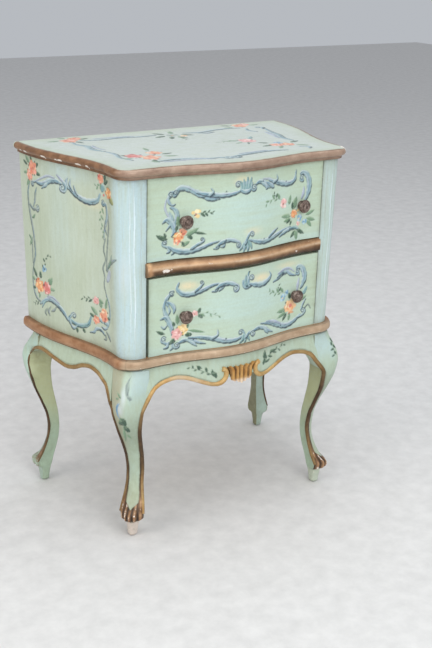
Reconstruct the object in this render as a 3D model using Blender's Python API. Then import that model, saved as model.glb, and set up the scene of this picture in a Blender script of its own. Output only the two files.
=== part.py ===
"""Two-drawer serpentine nightstand on cabriole legs. Metres, +Z up, the front faces -Y.

The origin is on the floor under the middle of the overall box.
"""

import math

import bmesh
import bpy

# Overall sizes
HEIGHT = 0.680
DEPTH = 0.336
BACK_WIDTH = 0.574
FRONT_WIDTH = 0.475

# Plan of the case
TOP_OVERHANG = 0.013
SIDE_SWEEP = 0.260
SIDE_POWER = 1.2
BOW = 0.021
BOW_HALF = 0.155
OPENING_WIDTH = 0.368
POST_DEPTH = 0.0477
POST_RADIUS = 0.028
SIDE_FLARE = 0.008
TOP_STRETCH = 1.016
BACK_SET = 0.003

# Board thicknesses
TOP_THICK = 0.018
TOP_STEP = 0.005
TOP_STEP_INSET = 0.007
TOP_ROUND = 0.0065
SIDE_THICK = 0.016
BACK_THICK = 0.005
BASE_THICK = 0.0185
STILE_THICK = 0.018
STILE_INNER = 0.165

# Heights of the stand and of its moulding
LEG_HEIGHT = 0.3255
MOULD_HEIGHT = 0.0195
MOULD_OUT = 0.011
CORNER_RADIUS = 0.040
TOP_RADIUS = 0.034

# Divider between the drawers
BEAD_HEIGHT = 0.025
BEAD_OUT = 0.0105
BEAD_LAP = 0.002
RAIL_DEPTH = 0.045
RAIL_INSET = 0.0015

# Drawers
FRONT_GAP = 0.001
FRONT_SIDE_GAP = 0.0012
FRONT_THICK = 0.018
BOX_CLEAR = 0.0022
BOX_THICK = 0.010
BOX_LIFT = 0.006
BOX_HEADROOM = 0.026
BOX_REAR_GAP = 0.003
BOTTOM_THICK = 0.004
BOTTOM_LIFT = 0.008
GROOVE_DEPTH = 0.005
GROOVE_CLEAR = 0.0003

# Runners and cleats
RUNNER_CLEAR = 0.001
RUNNER_LIP = 0.004
RUNNER_THICK = 0.015
GUIDE_WIDTH = 0.013
GUIDE_HEIGHT = 0.028
CLEAT_HEIGHT = 0.022

# Knobs and their screws
KNOB_PLACES = {"upper_drawer": (-0.1131, 0.1367), "lower_drawer": (-0.1105, 0.1315)}
KNOB_DROP = 0.0065
KNOB_RADIUS = 0.0124
KNOB_LENGTH = 0.0175
SEAT_RADIUS = 0.0088
SEAT_CLEAR = 0.0004
SEAT_CUT = 0.030
BORE_RUN = 0.005
SCREW_RADIUS = 0.0019
SCREW_BORE = 0.0022
SCREW_GRIP = 0.010
HEAD_RADIUS = 0.004
HEAD_THICK = 0.0022

# Legs: a square block at the top, an S below it, and a round peg
LEG_BLOCK = 0.050
LEG_CORNER = 0.0115
LEG_LEAN = 0.0103
FRONT_LEG_X = 0.2085
FRONT_LEG_INSET = 0.003
REAR_LEG_X = 0.2595
REAR_LEG_INSET = 0.0225

# Aprons
APRON_THICK = 0.016
APRON_OUT = 0.005
APRON_BELLY = 0.005
APRON_MID_OUT = 0.004
APRON_MID_BELLY = 0.002
FRONT_ARCH_X = 0.140
FRONT_ARCH_DROP = 0.0295
FRONT_LOBE_X = 0.058
FRONT_LOBE_DROP = 0.053
FRONT_MID_X = 0.029
FRONT_MID_DROP = 0.0488
SIDE_LOBE_Y = 0.022
SIDE_LOBE_DROP = 0.0415
SIDE_ARCH_SHARE = 0.66
SIDE_ARCH_DROP = 0.0235
END_DROP = 0.0405
BACK_APRON_DROP = 0.036
SHELL_WIDTH = 0.066
SHELL_HEIGHT = 0.034
SHELL_THICK = 0.0062
SHELL_DROP = 0.042
SHELL_FLUTES = 9
SHELL_FLUTE_DEPTH = 0.05
BLOCK_SIDE = 0.025
BLOCK_HEIGHT = 0.030

# Gap left between pieces that touch
GAP = 0.0003

# Fit of the parts, from the sizes above
BACK_Y = DEPTH / 2
CASE_BACK_Y = BACK_Y - BACK_SET
CASE_BACK_HALF = BACK_WIDTH / 2 - TOP_OVERHANG
CASE_FRONT_HALF = FRONT_WIDTH / 2 - TOP_OVERHANG
FACE_END_Y = -DEPTH / 2 + TOP_OVERHANG + BOW
OPENING_HALF = OPENING_WIDTH / 2
POST_BACK_Y = FACE_END_Y + POST_DEPTH
CASE_TOP_Z = HEIGHT - TOP_THICK
FLOOR_Z = LEG_HEIGHT + BASE_THICK
MOULD_TOP_Z = LEG_HEIGHT + MOULD_HEIGHT
FRONT_HEIGHT = (CASE_TOP_Z - MOULD_TOP_Z - BEAD_HEIGHT) / 2 - 2 * FRONT_GAP
LOWER_Z = MOULD_TOP_Z + FRONT_GAP
BEAD_Z = LOWER_Z + FRONT_HEIGHT + FRONT_GAP
UPPER_Z = BEAD_Z + BEAD_HEIGHT + FRONT_GAP
FRONT_HALF = OPENING_HALF - FRONT_SIDE_GAP
FRONT_BACK_Y = FACE_END_Y + FRONT_THICK
BOX_HALF = OPENING_HALF - BOX_CLEAR
BOX_HEIGHT = FRONT_HEIGHT - BOX_LIFT - BOX_HEADROOM
BACK_PANEL_Y = CASE_BACK_Y - BACK_THICK
STILE_BACK_Y = BACK_PANEL_Y - GAP
STILE_FRONT_Y = STILE_BACK_Y - STILE_THICK
BOX_REAR_Y = STILE_FRONT_Y - BOX_REAR_GAP
RUNNER_INNER = BOX_HALF - BOX_THICK - RUNNER_LIP
GUIDE_INNER = BOX_HALF + RUNNER_CLEAR
GUIDE_OUTER = GUIDE_INNER + GUIDE_WIDTH
FRONT_LEG_Y = FACE_END_Y + FRONT_LEG_INSET
REAR_LEG_Y = BACK_Y - REAR_LEG_INSET
FRONT_BLOCK_OUT_X = FRONT_LEG_X + LEG_LEAN + LEG_CORNER
FRONT_BLOCK_IN_X = FRONT_BLOCK_OUT_X - LEG_BLOCK
FRONT_BLOCK_IN_Y = FRONT_LEG_Y - LEG_CORNER + LEG_BLOCK
REAR_BLOCK_OUT_X = REAR_LEG_X + LEG_LEAN + LEG_CORNER
REAR_BLOCK_IN_X = REAR_BLOCK_OUT_X - LEG_BLOCK
REAR_BLOCK_OUT_Y = REAR_LEG_Y + LEG_CORNER
REAR_BLOCK_IN_Y = REAR_BLOCK_OUT_Y - LEG_BLOCK

# Leg stations: height over LEG_HEIGHT, then lean, outer, edge, half width and inner over LEG_BLOCK,
# then the roundness of the outer and of the inner face. The block at the top is added in code.
LEG_STATIONS = [
    (0.000, 0.000, 0.144, 0.000, 0.144, -0.144, 2.0, 2.0),
    (0.086, 0.000, 0.200, 0.000, 0.200, -0.200, 2.0, 2.0),
    (0.101, 0.000, 0.480, 0.090, 0.430, -0.320, 1.8, 1.4),
    (0.126, 0.000, 0.524, 0.110, 0.456, -0.370, 1.7, 1.1),
    (0.184, 0.000, 0.180, -0.040, 0.406, -0.460, 1.9, 1.0),
    (0.261, 0.000, -0.058, -0.190, 0.330, -0.584, 2.0, 1.0),
    (0.326, 0.000, -0.186, -0.294, 0.290, -0.664, 2.0, 1.0),
    (0.384, 0.000, -0.208, -0.344, 0.294, -0.690, 2.0, 1.0),
    (0.461, 0.016, -0.170, -0.296, 0.310, -0.676, 2.0, 1.0),
    (0.553, 0.068, -0.016, -0.140, 0.352, -0.620, 1.9, 1.0),
    (0.653, 0.142, 0.250, 0.020, 0.424, -0.580, 1.8, 1.0),
    (0.753, 0.192, 0.460, 0.070, 0.540, -0.594, 1.7, 1.0),
    (0.823, 0.206, 0.514, -0.170, 0.636, -0.680, 1.6, 1.0),
]
BLOCK_FOOT = 0.871
BLOCK_KNEE = [(0.871, 0.450, 1.55), (0.922, 0.280, 1.50), (1.000, 0.030, 1.40)]


def side_x(y):
    """Half width of the case at y, measured to the outside of the side panels."""
    t = min(max((BACK_Y - y) / SIDE_SWEEP, 0.0), 1.0) ** SIDE_POWER
    return CASE_FRONT_HALF + (CASE_BACK_HALF - CASE_FRONT_HALF) * 0.5 * (1 + math.cos(math.pi * t))


def face_y(x):
    """Y of the drawer face line at x."""
    if abs(x) >= BOW_HALF:
        return FACE_END_Y
    return FACE_END_Y - BOW * 0.5 * (1 + math.cos(math.pi * x / BOW_HALF))


def between(a, b, count):
    """Evenly spaced values from a to b, both included."""
    return [a + (b - a) * i / count for i in range(count + 1)]


def half_line(offset, radius, back_y, counts=(14, 6, 16)):
    """Right half of a plan outline, from the back corner to the middle of the front."""
    corner_x = CASE_FRONT_HALF + offset - radius
    corner_y = FACE_END_Y - offset + radius
    line = [(side_x(y) + offset, y) for y in between(back_y, corner_y, counts[0])]
    for angle in between(0.0, -math.pi / 2, counts[1])[1:]:
        line.append((corner_x + radius * math.cos(angle), corner_y + radius * math.sin(angle)))
    for x in between(corner_x, 0.0, counts[2])[1:]:
        line.append((x, face_y(x) - offset))
    return line


def full_line(offset, radius, back_y, counts=(14, 6, 16)):
    """Closed plan outline, with the straight back left as one edge."""
    right = half_line(offset, radius, back_y, counts)
    left = [(-x, y) for x, y in reversed(right[:-1])]
    return right + left


def new_material(name, colour, roughness, metallic=0.0):
    material = bpy.data.materials.new(name)
    material.use_nodes = True
    shader = material.node_tree.nodes["Principled BSDF"]
    shader.inputs["Base Color"].default_value = (*colour, 1.0)
    shader.inputs["Roughness"].default_value = roughness
    shader.inputs["Metallic"].default_value = metallic
    material.diffuse_color = (*colour, 1.0)
    return material


FINISHES = {
    "paint": ((0.62, 0.74, 0.62), 0.45, 0.0),
    "gilt": ((0.42, 0.25, 0.12), 0.40, 0.3),
    "wood": ((0.45, 0.30, 0.17), 0.70, 0.0),
    "bronze": ((0.16, 0.09, 0.05), 0.35, 0.6),
    "steel": ((0.45, 0.44, 0.42), 0.40, 1.0),
}


def finish(bm, name, kind, smooth=False):
    """Turn a bmesh into a named object with its own material."""
    bmesh.ops.recalc_face_normals(bm, faces=bm.faces)
    for face in bm.faces:
        face.smooth = smooth
    mesh = bpy.data.meshes.new(name)
    bm.to_mesh(mesh)
    bm.free()
    piece = bpy.data.objects.new(name, mesh)
    bpy.context.scene.collection.objects.link(piece)
    colour, roughness, metallic = FINISHES[kind]
    piece.data.materials.append(new_material(name, colour, roughness, metallic))
    return piece


def loft(name, rings, kind, parent=None, smooth=False):
    """Closed solid through rings of equal length, capped at both ends."""
    bm = bmesh.new()
    rows = [[bm.verts.new(point) for point in ring] for ring in rings]
    count = len(rings[0])
    for low, high in zip(rows, rows[1:]):
        for i in range(count):
            j = (i + 1) % count
            bm.faces.new((low[i], low[j], high[j], high[i]))
    bm.faces.new(list(reversed(rows[0])))
    bm.faces.new(rows[-1])
    piece = finish(bm, name, kind, smooth)
    piece.parent = parent
    return piece


def prism(name, outline, low, high, kind, parent=None):
    """Plan outline drawn up from z low to z high."""
    return loft(name, [[(x, y, z) for x, y in outline] for z in (low, high)], kind, parent)


def block(name, low, high, kind, parent=None):
    """Straight box between two corners."""
    outline = [(low[0], low[1]), (high[0], low[1]), (high[0], high[1]), (low[0], high[1])]
    return prism(name, outline, low[2], high[2], kind, parent)


def strip(name, section, y0, y1, kind, parent=None):
    """Section in x and z drawn along y."""
    return loft(name, [[(x, y, z) for x, z in section] for y in (y0, y1)], kind, parent)


def turned(name, profile, centre, axis, kind, parent=None, count=20, helper=False):
    """Round piece from (radius, distance along the axis) pairs; radius 0 is a pole."""
    bm = bmesh.new()
    across = (1, 0, 0) if axis[0] == 0 else (0, 1, 0)
    other = (
        axis[1] * across[2] - axis[2] * across[1],
        axis[2] * across[0] - axis[0] * across[2],
        axis[0] * across[1] - axis[1] * across[0],
    )

    def place(radius, along, angle):
        a = radius * math.cos(angle)
        b = radius * math.sin(angle)
        return [centre[k] + axis[k] * along + across[k] * a + other[k] * b for k in range(3)]

    rows = []
    for radius, along in profile:
        if radius == 0:
            rows.append([bm.verts.new(place(0, along, 0))])
        else:
            turns = [2 * math.pi * i / count for i in range(count)]
            rows.append([bm.verts.new(place(radius, along, angle)) for angle in turns])
    for low, high in zip(rows, rows[1:]):
        for i in range(count):
            j = (i + 1) % count
            corners = [low[i % len(low)], low[j % len(low)], high[j % len(high)], high[i % len(high)]]
            bm.faces.new(list(dict.fromkeys(corners)))
    piece = finish(bm, name, kind, True)
    piece.parent = parent
    if helper:
        piece.hide_render = True
        piece.display_type = "WIRE"
    return piece


def cut(piece, cutter):
    """Take the cutter out of the piece."""
    modifier = piece.modifiers.new("cut_" + cutter.name, "BOOLEAN")
    modifier.operation = "DIFFERENCE"
    modifier.solver = "EXACT"
    modifier.object = cutter


def rod(radius, start, end):
    """Profile of a plain cylinder."""
    return [(0, start), (radius, start), (radius, end), (0, end)]


def axis_empty(name, location):
    empty = bpy.data.objects.new(name, None)
    empty.location = location
    bpy.context.scene.collection.objects.link(empty)
    return empty


def smooth_table(rows, z):
    """Monotone cubic through table rows at height z."""
    steps = [(b[0] - a[0]) for a, b in zip(rows, rows[1:])]
    i = 0
    while i < len(steps) - 1 and z > rows[i + 1][0]:
        i += 1
    t = (z - rows[i][0]) / steps[i]
    values = []
    for k in range(1, len(rows[0])):
        slopes = [(b[k] - a[k]) / s for a, b, s in zip(rows, rows[1:], steps)]

        def tangent(n):
            if n == 0 or n == len(rows) - 1 or slopes[n - 1] * slopes[n] <= 0:
                return 0.0
            return 2 * slopes[n - 1] * slopes[n] / (slopes[n - 1] + slopes[n])

        a, b = rows[i][k], rows[i + 1][k]
        ma, mb = tangent(i) * steps[i], tangent(i + 1) * steps[i]
        values.append(
            (2 * t**3 - 3 * t**2 + 1) * a
            + (t**3 - 2 * t**2 + t) * ma
            + (3 * t**2 - 2 * t**3) * b
            + (t**3 - t**2) * mb
        )
    return values


def leg_rows():
    """All leg stations, with the square block at the top."""
    root = math.sqrt(0.5)
    edge = (2 * LEG_CORNER - LEG_BLOCK) * root / LEG_BLOCK
    inner = -(LEG_BLOCK - LEG_CORNER) * 2 * root / LEG_BLOCK
    lean = LEG_LEAN / LEG_BLOCK
    rows = list(LEG_STATIONS)
    for height, outer, roundness in BLOCK_KNEE:
        rows.append((height, lean, outer, edge, root, inner, roundness, 1.0))
    return rows


def leg_section(values, outer_count=8, inner_count=2):
    """Section of the leg: distances out along the diagonal and across it."""
    lean, outer, edge, half, inner, outer_round, inner_round = values
    points = []
    for u in between(1.0, -1.0, outer_count):
        points.append((edge + (outer - edge) * (1 - abs(u) ** outer_round), half * u))
    for u in between(-1.0, 1.0, 2 * inner_count)[1:-1]:
        points.append((edge + (inner - edge) * (1 - abs(u) ** inner_round), half * u))
    return points


def make_leg(name, foot_x, foot_y, kind):
    """Cabriole leg with its peg at (foot_x, foot_y), turned out to the corner it stands in."""
    out_x = math.copysign(math.sqrt(0.5), foot_x)
    out_y = math.copysign(math.sqrt(0.5), foot_y)
    rows = leg_rows()
    heights = []
    for low, high in zip(rows, rows[1:]):
        steps = 1 if high[0] > BLOCK_FOOT or high[0] <= 0.13 else 2
        heights += between(low[0], high[0], steps)[:-1]
    heights.append(rows[-1][0])
    rings = []
    for height in heights:
        values = smooth_table(rows, height)
        ring = []
        for out, across in leg_section(values):
            x = foot_x + LEG_BLOCK * (math.copysign(values[0], foot_x) + out * out_x - across * out_y)
            y = foot_y + LEG_BLOCK * (out * out_y + across * out_x)
            ring.append((x, y, height * LEG_HEIGHT - (GAP if height == 1.0 else 0.0)))
        rings.append(ring)
    return loft(name, rings, kind, None, True)


def wave(keys, s):
    """Cosine blend through (position, value) keys."""
    for (a, low), (b, high) in zip(keys, keys[1:]):
        if s <= b:
            t = (s - a) / (b - a)
            return low + (high - low) * 0.5 * (1 - math.cos(math.pi * t))
    return keys[-1][1]


def apron_drop(keys, s, end, drop):
    """Drop of an apron's lower edge: waves between the keys, then a quarter wave down to the leg."""
    if s <= keys[-1][0]:
        return wave(keys, s)
    t = (s - keys[-1][0]) / (end - keys[-1][0])
    return keys[-1][1] + (drop - keys[-1][1]) * (1 - math.cos(0.5 * math.pi * t))


def make_apron(name, stations, kind, levels=4):
    """Bent apron: each station gives its top outer point, outward direction, reach, belly and drop."""
    rings = []
    for x, y, out_x, out_y, reach, belly, drop in stations:
        ring = []
        for i in range(levels + 1):
            t = i / levels
            out = reach + belly * math.sin(0.5 * math.pi * t)
            ring.append((x + out_x * out, y + out_y * out, LEG_HEIGHT - GAP - drop * t))
        for t in (1.0, 0.0):
            ring.append((x - out_x * APRON_THICK, y - out_y * APRON_THICK, LEG_HEIGHT - GAP - drop * t))
        rings.append(ring)
    return loft(name, rings, kind, None, False)


def front_apron_stations():
    end = FRONT_BLOCK_IN_X - GAP
    keys = [(0.0, FRONT_MID_DROP), (FRONT_MID_X, FRONT_MID_DROP)]
    keys += [(FRONT_LOBE_X, FRONT_LOBE_DROP), (FRONT_ARCH_X, FRONT_ARCH_DROP)]
    stations = []
    for x in between(-end, end, 52):
        share = abs(x) / end
        reach = APRON_MID_OUT + (APRON_OUT - APRON_MID_OUT) * share
        belly = APRON_MID_BELLY + (APRON_BELLY - APRON_MID_BELLY) * share
        drop = apron_drop(keys, abs(x), end, END_DROP)
        stations.append((x, face_y(x), 0.0, -1.0, reach, belly, drop))
    return stations


def side_apron_stations(side):
    low = FRONT_BLOCK_IN_Y + GAP
    high = REAR_BLOCK_IN_Y - GAP
    stations = []
    for y in between(low, high, 36):
        leg_end = high if y > SIDE_LOBE_Y else low
        half = abs(leg_end - SIDE_LOBE_Y)
        keys = [(0.0, SIDE_LOBE_DROP), (SIDE_ARCH_SHARE * half, SIDE_ARCH_DROP)]
        drop = apron_drop(keys, abs(y - SIDE_LOBE_Y), half, END_DROP)
        stations.append((side * side_x(y), y, side, 0.0, APRON_OUT, APRON_BELLY, drop))
    return stations


def mould_levels():
    """Height and outward reach of the base moulding's section."""
    low = LEG_HEIGHT
    return [
        (low, 0.70 * MOULD_OUT),
        (low + 0.10 * MOULD_HEIGHT, 0.70 * MOULD_OUT),
        (low + 0.22 * MOULD_HEIGHT, 0.96 * MOULD_OUT),
        (low + 0.50 * MOULD_HEIGHT, MOULD_OUT),
        (low + 0.78 * MOULD_HEIGHT, 0.94 * MOULD_OUT),
        (MOULD_TOP_Z, 0.66 * MOULD_OUT),
    ]


def corner_radius(offset):
    """Corner radius that goes evenly from the post's round to the outer edge's."""
    return POST_RADIUS + (CORNER_RADIUS - POST_RADIUS) * offset / MOULD_OUT


def base_moulding(name, part):
    """Front, left or right run of the base moulding, mitred at the front corners."""
    counts = (14, 6, 16)
    corner = counts[0] + counts[1] // 2

    def run(offset):
        half = half_line(offset, corner_radius(offset), CASE_BACK_Y, counts)
        if part == "front":
            right = half[corner:]
            return [(-x, y) for x, y in right] + list(reversed(right[:-1]))
        line = half[: corner + 1]
        if part == "left":
            return [(-x, y) for x, y in line]
        return line

    inner = run(GAP)
    rings = []
    for i in range(len(inner)):
        ring = [(*inner[i], LEG_HEIGHT), (*inner[i], MOULD_TOP_Z)]
        for z, out in reversed(mould_levels()):
            ring.append((*run(out)[i], z))
        rings.append(ring)
    # A mitre gap at both corners keeps the runs apart.
    shift = GAP if part == "front" else 0.0
    if part == "front":
        for k, sign in ((0, -1.0), (-1, 1.0)):
            rings[k] = [(x - sign * shift, y - shift, z) for x, y, z in rings[k]]
    return loft(name, rings, "gilt")


def make_top():
    """Shaped top: a small step, then a round edge on the front and both sides."""
    radius = (TOP_THICK - TOP_STEP) / 2
    levels = [(CASE_TOP_Z, TOP_STEP_INSET), (CASE_TOP_Z + TOP_STEP - GAP, TOP_STEP_INSET)]
    for angle in between(-0.5 * math.pi, 0.5 * math.pi, 8):
        levels.append((HEIGHT - radius + radius * math.sin(angle), TOP_ROUND * (1 - math.cos(angle))))
    rings = []
    for z, inset in levels:
        offset = TOP_OVERHANG - inset
        rings.append([(TOP_STRETCH * x, y, z) for x, y in full_line(offset, TOP_RADIUS - inset, BACK_Y)])
    return loft("top_board", rings, "paint")


def make_shell():
    """Fluted fan in the middle of the front apron, standing on the apron's face."""
    back = face_y(0.0) - APRON_MID_OUT - APRON_MID_BELLY - GAP
    middle_z = LEG_HEIGHT - SHELL_DROP
    outline = []
    for angle in between(0.0, 2 * math.pi, 4 * SHELL_FLUTES)[:-1]:
        flute = 1 + SHELL_FLUTE_DEPTH * math.cos(SHELL_FLUTES * angle)
        x = 0.5 * SHELL_WIDTH * flute * math.sin(angle)
        z = middle_z + 0.5 * SHELL_HEIGHT * flute * math.cos(angle)
        outline.append((x, z))
    rings = []
    for share, size in ((0.0, 1.0), (0.35, 0.98), (0.75, 0.80), (1.0, 0.45)):
        ring = []
        for x, z in outline:
            ring.append((x * size, back - SHELL_THICK * share, middle_z + (z - middle_z) * size))
        rings.append(ring)
    return loft("apron_shell", rings, "gilt")


def make_bead():
    """Half-round gilt bead that follows the drawer face between the drawers."""
    half = OPENING_HALF + BEAD_LAP
    rings = []
    for x in between(-half, half, 40):
        ring = []
        for angle in between(-0.5 * math.pi, 0.5 * math.pi, 8):
            z = BEAD_Z + 0.5 * BEAD_HEIGHT * (1 + math.sin(angle))
            ring.append((x, face_y(x) - GAP - BEAD_OUT * math.cos(angle), z))
        rings.append(ring)
    return loft("divider_bead", rings, "gilt")


def make_knob(name, seat, z, x, parent):
    """Turned knob with a blind bore for its screw."""
    flange = SEAT_RADIUS - SEAT_CLEAR
    depth = SCREW_GRIP + 0.001
    profile = [
        (0, depth),
        (SCREW_BORE, depth),
        (SCREW_BORE, 0),
        (flange, 0),
        (flange, 0.13 * KNOB_LENGTH),
        (0.72 * flange, 0.22 * KNOB_LENGTH),
        (0.68 * flange, 0.38 * KNOB_LENGTH),
        (0.80 * KNOB_RADIUS, 0.50 * KNOB_LENGTH),
        (KNOB_RADIUS, 0.62 * KNOB_LENGTH),
        (KNOB_RADIUS, 0.74 * KNOB_LENGTH),
        (0.88 * KNOB_RADIUS, 0.86 * KNOB_LENGTH),
        (0.62 * KNOB_RADIUS, 0.90 * KNOB_LENGTH),
        (0.45 * KNOB_RADIUS, 0.96 * KNOB_LENGTH),
        (0, KNOB_LENGTH),
    ]
    return turned(name, profile, (x, seat - GAP, z), (0, -1, 0), "bronze", parent, 24)


def make_drawer(prefix, low):
    """Drawer with its bowed front at z low; everything hangs on an empty on its slide axis."""
    slide = axis_empty(prefix + "_slide", (0, 0, 0))
    front_line = [(x, face_y(x)) for x in between(-FRONT_HALF, FRONT_HALF, 36)]
    front_line += [(FRONT_HALF, FRONT_BACK_Y), (-FRONT_HALF, FRONT_BACK_Y)]
    front = prism(prefix + "_front", front_line, low, low + FRONT_HEIGHT, "paint", slide)
    knob_z = low + FRONT_HEIGHT / 2 - KNOB_DROP
    for x, word in zip(KNOB_PLACES[prefix], ("left", "right")):
        seat = face_y(abs(x) + SEAT_RADIUS) + GAP
        through = FRONT_BACK_Y - seat + BORE_RUN
        hole = [(0, SEAT_CUT), (SEAT_RADIUS, SEAT_CUT), (SEAT_RADIUS, 0), (SCREW_BORE, 0)]
        hole += [(SCREW_BORE, -through), (0, -through)]
        name = prefix + "_" + word
        cut(front, turned(name + "_seat_cutter", hole, (x, seat, knob_z), (0, -1, 0), "wood", None, 24, True))
        make_knob(name + "_knob", seat, knob_z, x, slide)
        head = FRONT_BACK_Y + GAP
        length = head - seat + SCREW_GRIP
        screw = [(0, 0), (0.7 * HEAD_RADIUS, 0), (HEAD_RADIUS, 0.5 * HEAD_THICK), (HEAD_RADIUS, HEAD_THICK)]
        screw += [(SCREW_RADIUS, HEAD_THICK), (SCREW_RADIUS, HEAD_THICK + length), (0, HEAD_THICK + length)]
        turned(name + "_knob_screw", screw, (x, head + HEAD_THICK, knob_z), (0, -1, 0), "steel", slide, 16)
    box_low = low + BOX_LIFT
    box_high = box_low + BOX_HEIGHT
    box_front = FRONT_BACK_Y + GAP
    groove_low = box_low + BOTTOM_LIFT
    groove_high = groove_low + BOTTOM_THICK + 2 * GROOVE_CLEAR
    inner = BOX_HALF - BOX_THICK
    groove = inner + GROOVE_DEPTH
    section = [
        (BOX_HALF, box_low),
        (BOX_HALF, box_high),
        (inner, box_high),
        (inner, groove_high),
        (groove, groove_high),
        (groove, groove_low),
        (inner, groove_low),
        (inner, box_low),
    ]
    for side, word in ((-1, "left"), (1, "right")):
        flank = [(side * x, z) for x, z in section]
        strip(prefix + "_" + word + "_side", flank, box_front, BOX_REAR_Y, "wood", slide)
    back_low = (-inner + GAP, BOX_REAR_Y - BOX_THICK, groove_high)
    block(prefix + "_back", back_low, (inner - GAP, BOX_REAR_Y, box_high), "wood", slide)
    floor_half = groove - GROOVE_CLEAR
    floor_low = (-floor_half, box_front, groove_low + GROOVE_CLEAR)
    floor_high = (floor_half, BOX_REAR_Y, groove_low + GROOVE_CLEAR + BOTTOM_THICK)
    block(prefix + "_bottom", floor_low, floor_high, "wood", slide)
    return box_low


def make_runner(name, side, top, thick):
    """L-shaped runner: a ledge under the drawer side and a guide beside it."""
    low = top - thick
    section = [
        (side * RUNNER_INNER, low),
        (side * GUIDE_OUTER, low),
        (side * GUIDE_OUTER, top + GUIDE_HEIGHT),
        (side * GUIDE_INNER, top + GUIDE_HEIGHT),
        (side * GUIDE_INNER, top),
        (side * RUNNER_INNER, top),
    ]
    return strip(name, section, POST_BACK_Y + GAP, STILE_FRONT_Y - GAP, "wood")


for old in list(bpy.data.objects):
    bpy.data.objects.remove(old, do_unlink=True)

top = make_top()

# Case
case_low = FLOOR_Z + GAP
case_high = CASE_TOP_Z - GAP
prism("case_bottom", full_line(0.0, POST_RADIUS, CASE_BACK_Y), LEG_HEIGHT, FLOOR_Z, "wood")
panel_front = POST_BACK_Y + GAP
stile_outer = side_x(STILE_FRONT_Y) - SIDE_THICK - GAP
for side, word in ((-1, "left"), (1, "right")):
    ys = between(panel_front, CASE_BACK_Y, 16)
    arc = [(OPENING_HALF, FACE_END_Y)]
    for angle in between(-0.5 * math.pi, 0.0, 8):
        arc_x = CASE_FRONT_HALF - POST_RADIUS + POST_RADIUS * math.cos(angle)
        arc.append((arc_x, FACE_END_Y + POST_RADIUS + POST_RADIUS * math.sin(angle)))
    arc += [(CASE_FRONT_HALF, POST_BACK_Y), (OPENING_HALF, POST_BACK_Y)]
    # The outer faces lean out towards the top, the inner ones are upright.
    panel_rings = []
    post_rings = []
    for z, lean in ((case_low, 0.0), (case_high, SIDE_FLARE)):
        ring = [(side * (side_x(y) + lean), y, z) for y in ys]
        ring += [(side * (side_x(y) - SIDE_THICK), y, z) for y in reversed(ys)]
        panel_rings.append(ring)
        spread = 1 + lean / (CASE_FRONT_HALF - OPENING_HALF)
        post_rings.append([(side * (OPENING_HALF + (x - OPENING_HALF) * spread), y, z) for x, y in arc])
    loft(word + "_side_panel", panel_rings, "paint")
    loft("front_" + word + "_post", post_rings, "paint")
    stile_line = [(side * STILE_INNER, STILE_FRONT_Y), (side * stile_outer, STILE_FRONT_Y)]
    stile_line += [(side * stile_outer, STILE_BACK_Y), (side * STILE_INNER, STILE_BACK_Y)]
    prism("rear_" + word + "_stile", stile_line, case_low, case_high, "wood")
back_half = side_x(BACK_PANEL_Y) - SIDE_THICK - GAP
block("back_panel", (-back_half, BACK_PANEL_Y, case_low), (back_half, CASE_BACK_Y, case_high), "wood")

# Divider between the drawers
rail_half = OPENING_HALF - GAP
rail_line = [(x, face_y(x)) for x in between(-rail_half, rail_half, 36)]
rail_line += [(rail_half, FACE_END_Y + RAIL_DEPTH), (-rail_half, FACE_END_Y + RAIL_DEPTH)]
rail_low = BEAD_Z + RAIL_INSET
prism("divider_rail", rail_line, rail_low, BEAD_Z + BEAD_HEIGHT - RAIL_INSET, "wood")
make_bead()

# Base moulding
for part in ("front", "left", "right"):
    base_moulding("base_moulding_" + part, part)

# Drawers, then what they run on
lower_box = make_drawer("lower_drawer", LOWER_Z)
upper_box = make_drawer("upper_drawer", UPPER_Z)
for side, word in ((-1, "left"), (1, "right")):
    make_runner("lower_" + word + "_runner", side, lower_box - GAP, lower_box - GAP - FLOOR_Z - GAP)
    make_runner("upper_" + word + "_runner", side, upper_box - GAP, RUNNER_THICK)
    cleat_low = CASE_TOP_Z - GAP - CLEAT_HEIGHT
    ends = sorted((side * RUNNER_INNER, side * GUIDE_OUTER))
    cleat = block(
        "top_" + word + "_cleat",
        (ends[0], POST_BACK_Y + GAP, cleat_low),
        (ends[1], STILE_FRONT_Y - GAP, CASE_TOP_Z - GAP),
        "wood",
    )
    screw_x = side * (GUIDE_INNER + 0.5 * GUIDE_WIDTH)
    run = STILE_FRONT_Y - POST_BACK_Y
    for i, share in enumerate((0.15, 0.85)):
        screw_y = POST_BACK_Y + share * run
        number = str(1 + i + (2 if side > 0 else 0))
        through = CLEAT_HEIGHT + 2 * GAP
        hole = rod(SCREW_BORE, -0.005, through + SCREW_GRIP + 0.001)
        place = (screw_x, screw_y, cleat_low)
        cutter = turned("top_screw_cutter_" + number, hole, place, (0, 0, 1), "wood", None, 16, True)
        cut(cleat, cutter)
        cut(top, cutter)
        shank = through + SCREW_GRIP
        screw = [(0, -HEAD_THICK), (0.7 * HEAD_RADIUS, -HEAD_THICK), (HEAD_RADIUS, -0.5 * HEAD_THICK)]
        screw += [(HEAD_RADIUS, 0), (SCREW_RADIUS, 0), (SCREW_RADIUS, shank), (0, shank)]
        seat = (screw_x, screw_y, cleat_low - GAP)
        turned("top_screw_" + number, screw, seat, (0, 0, 1), "steel", None, 16)

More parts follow.
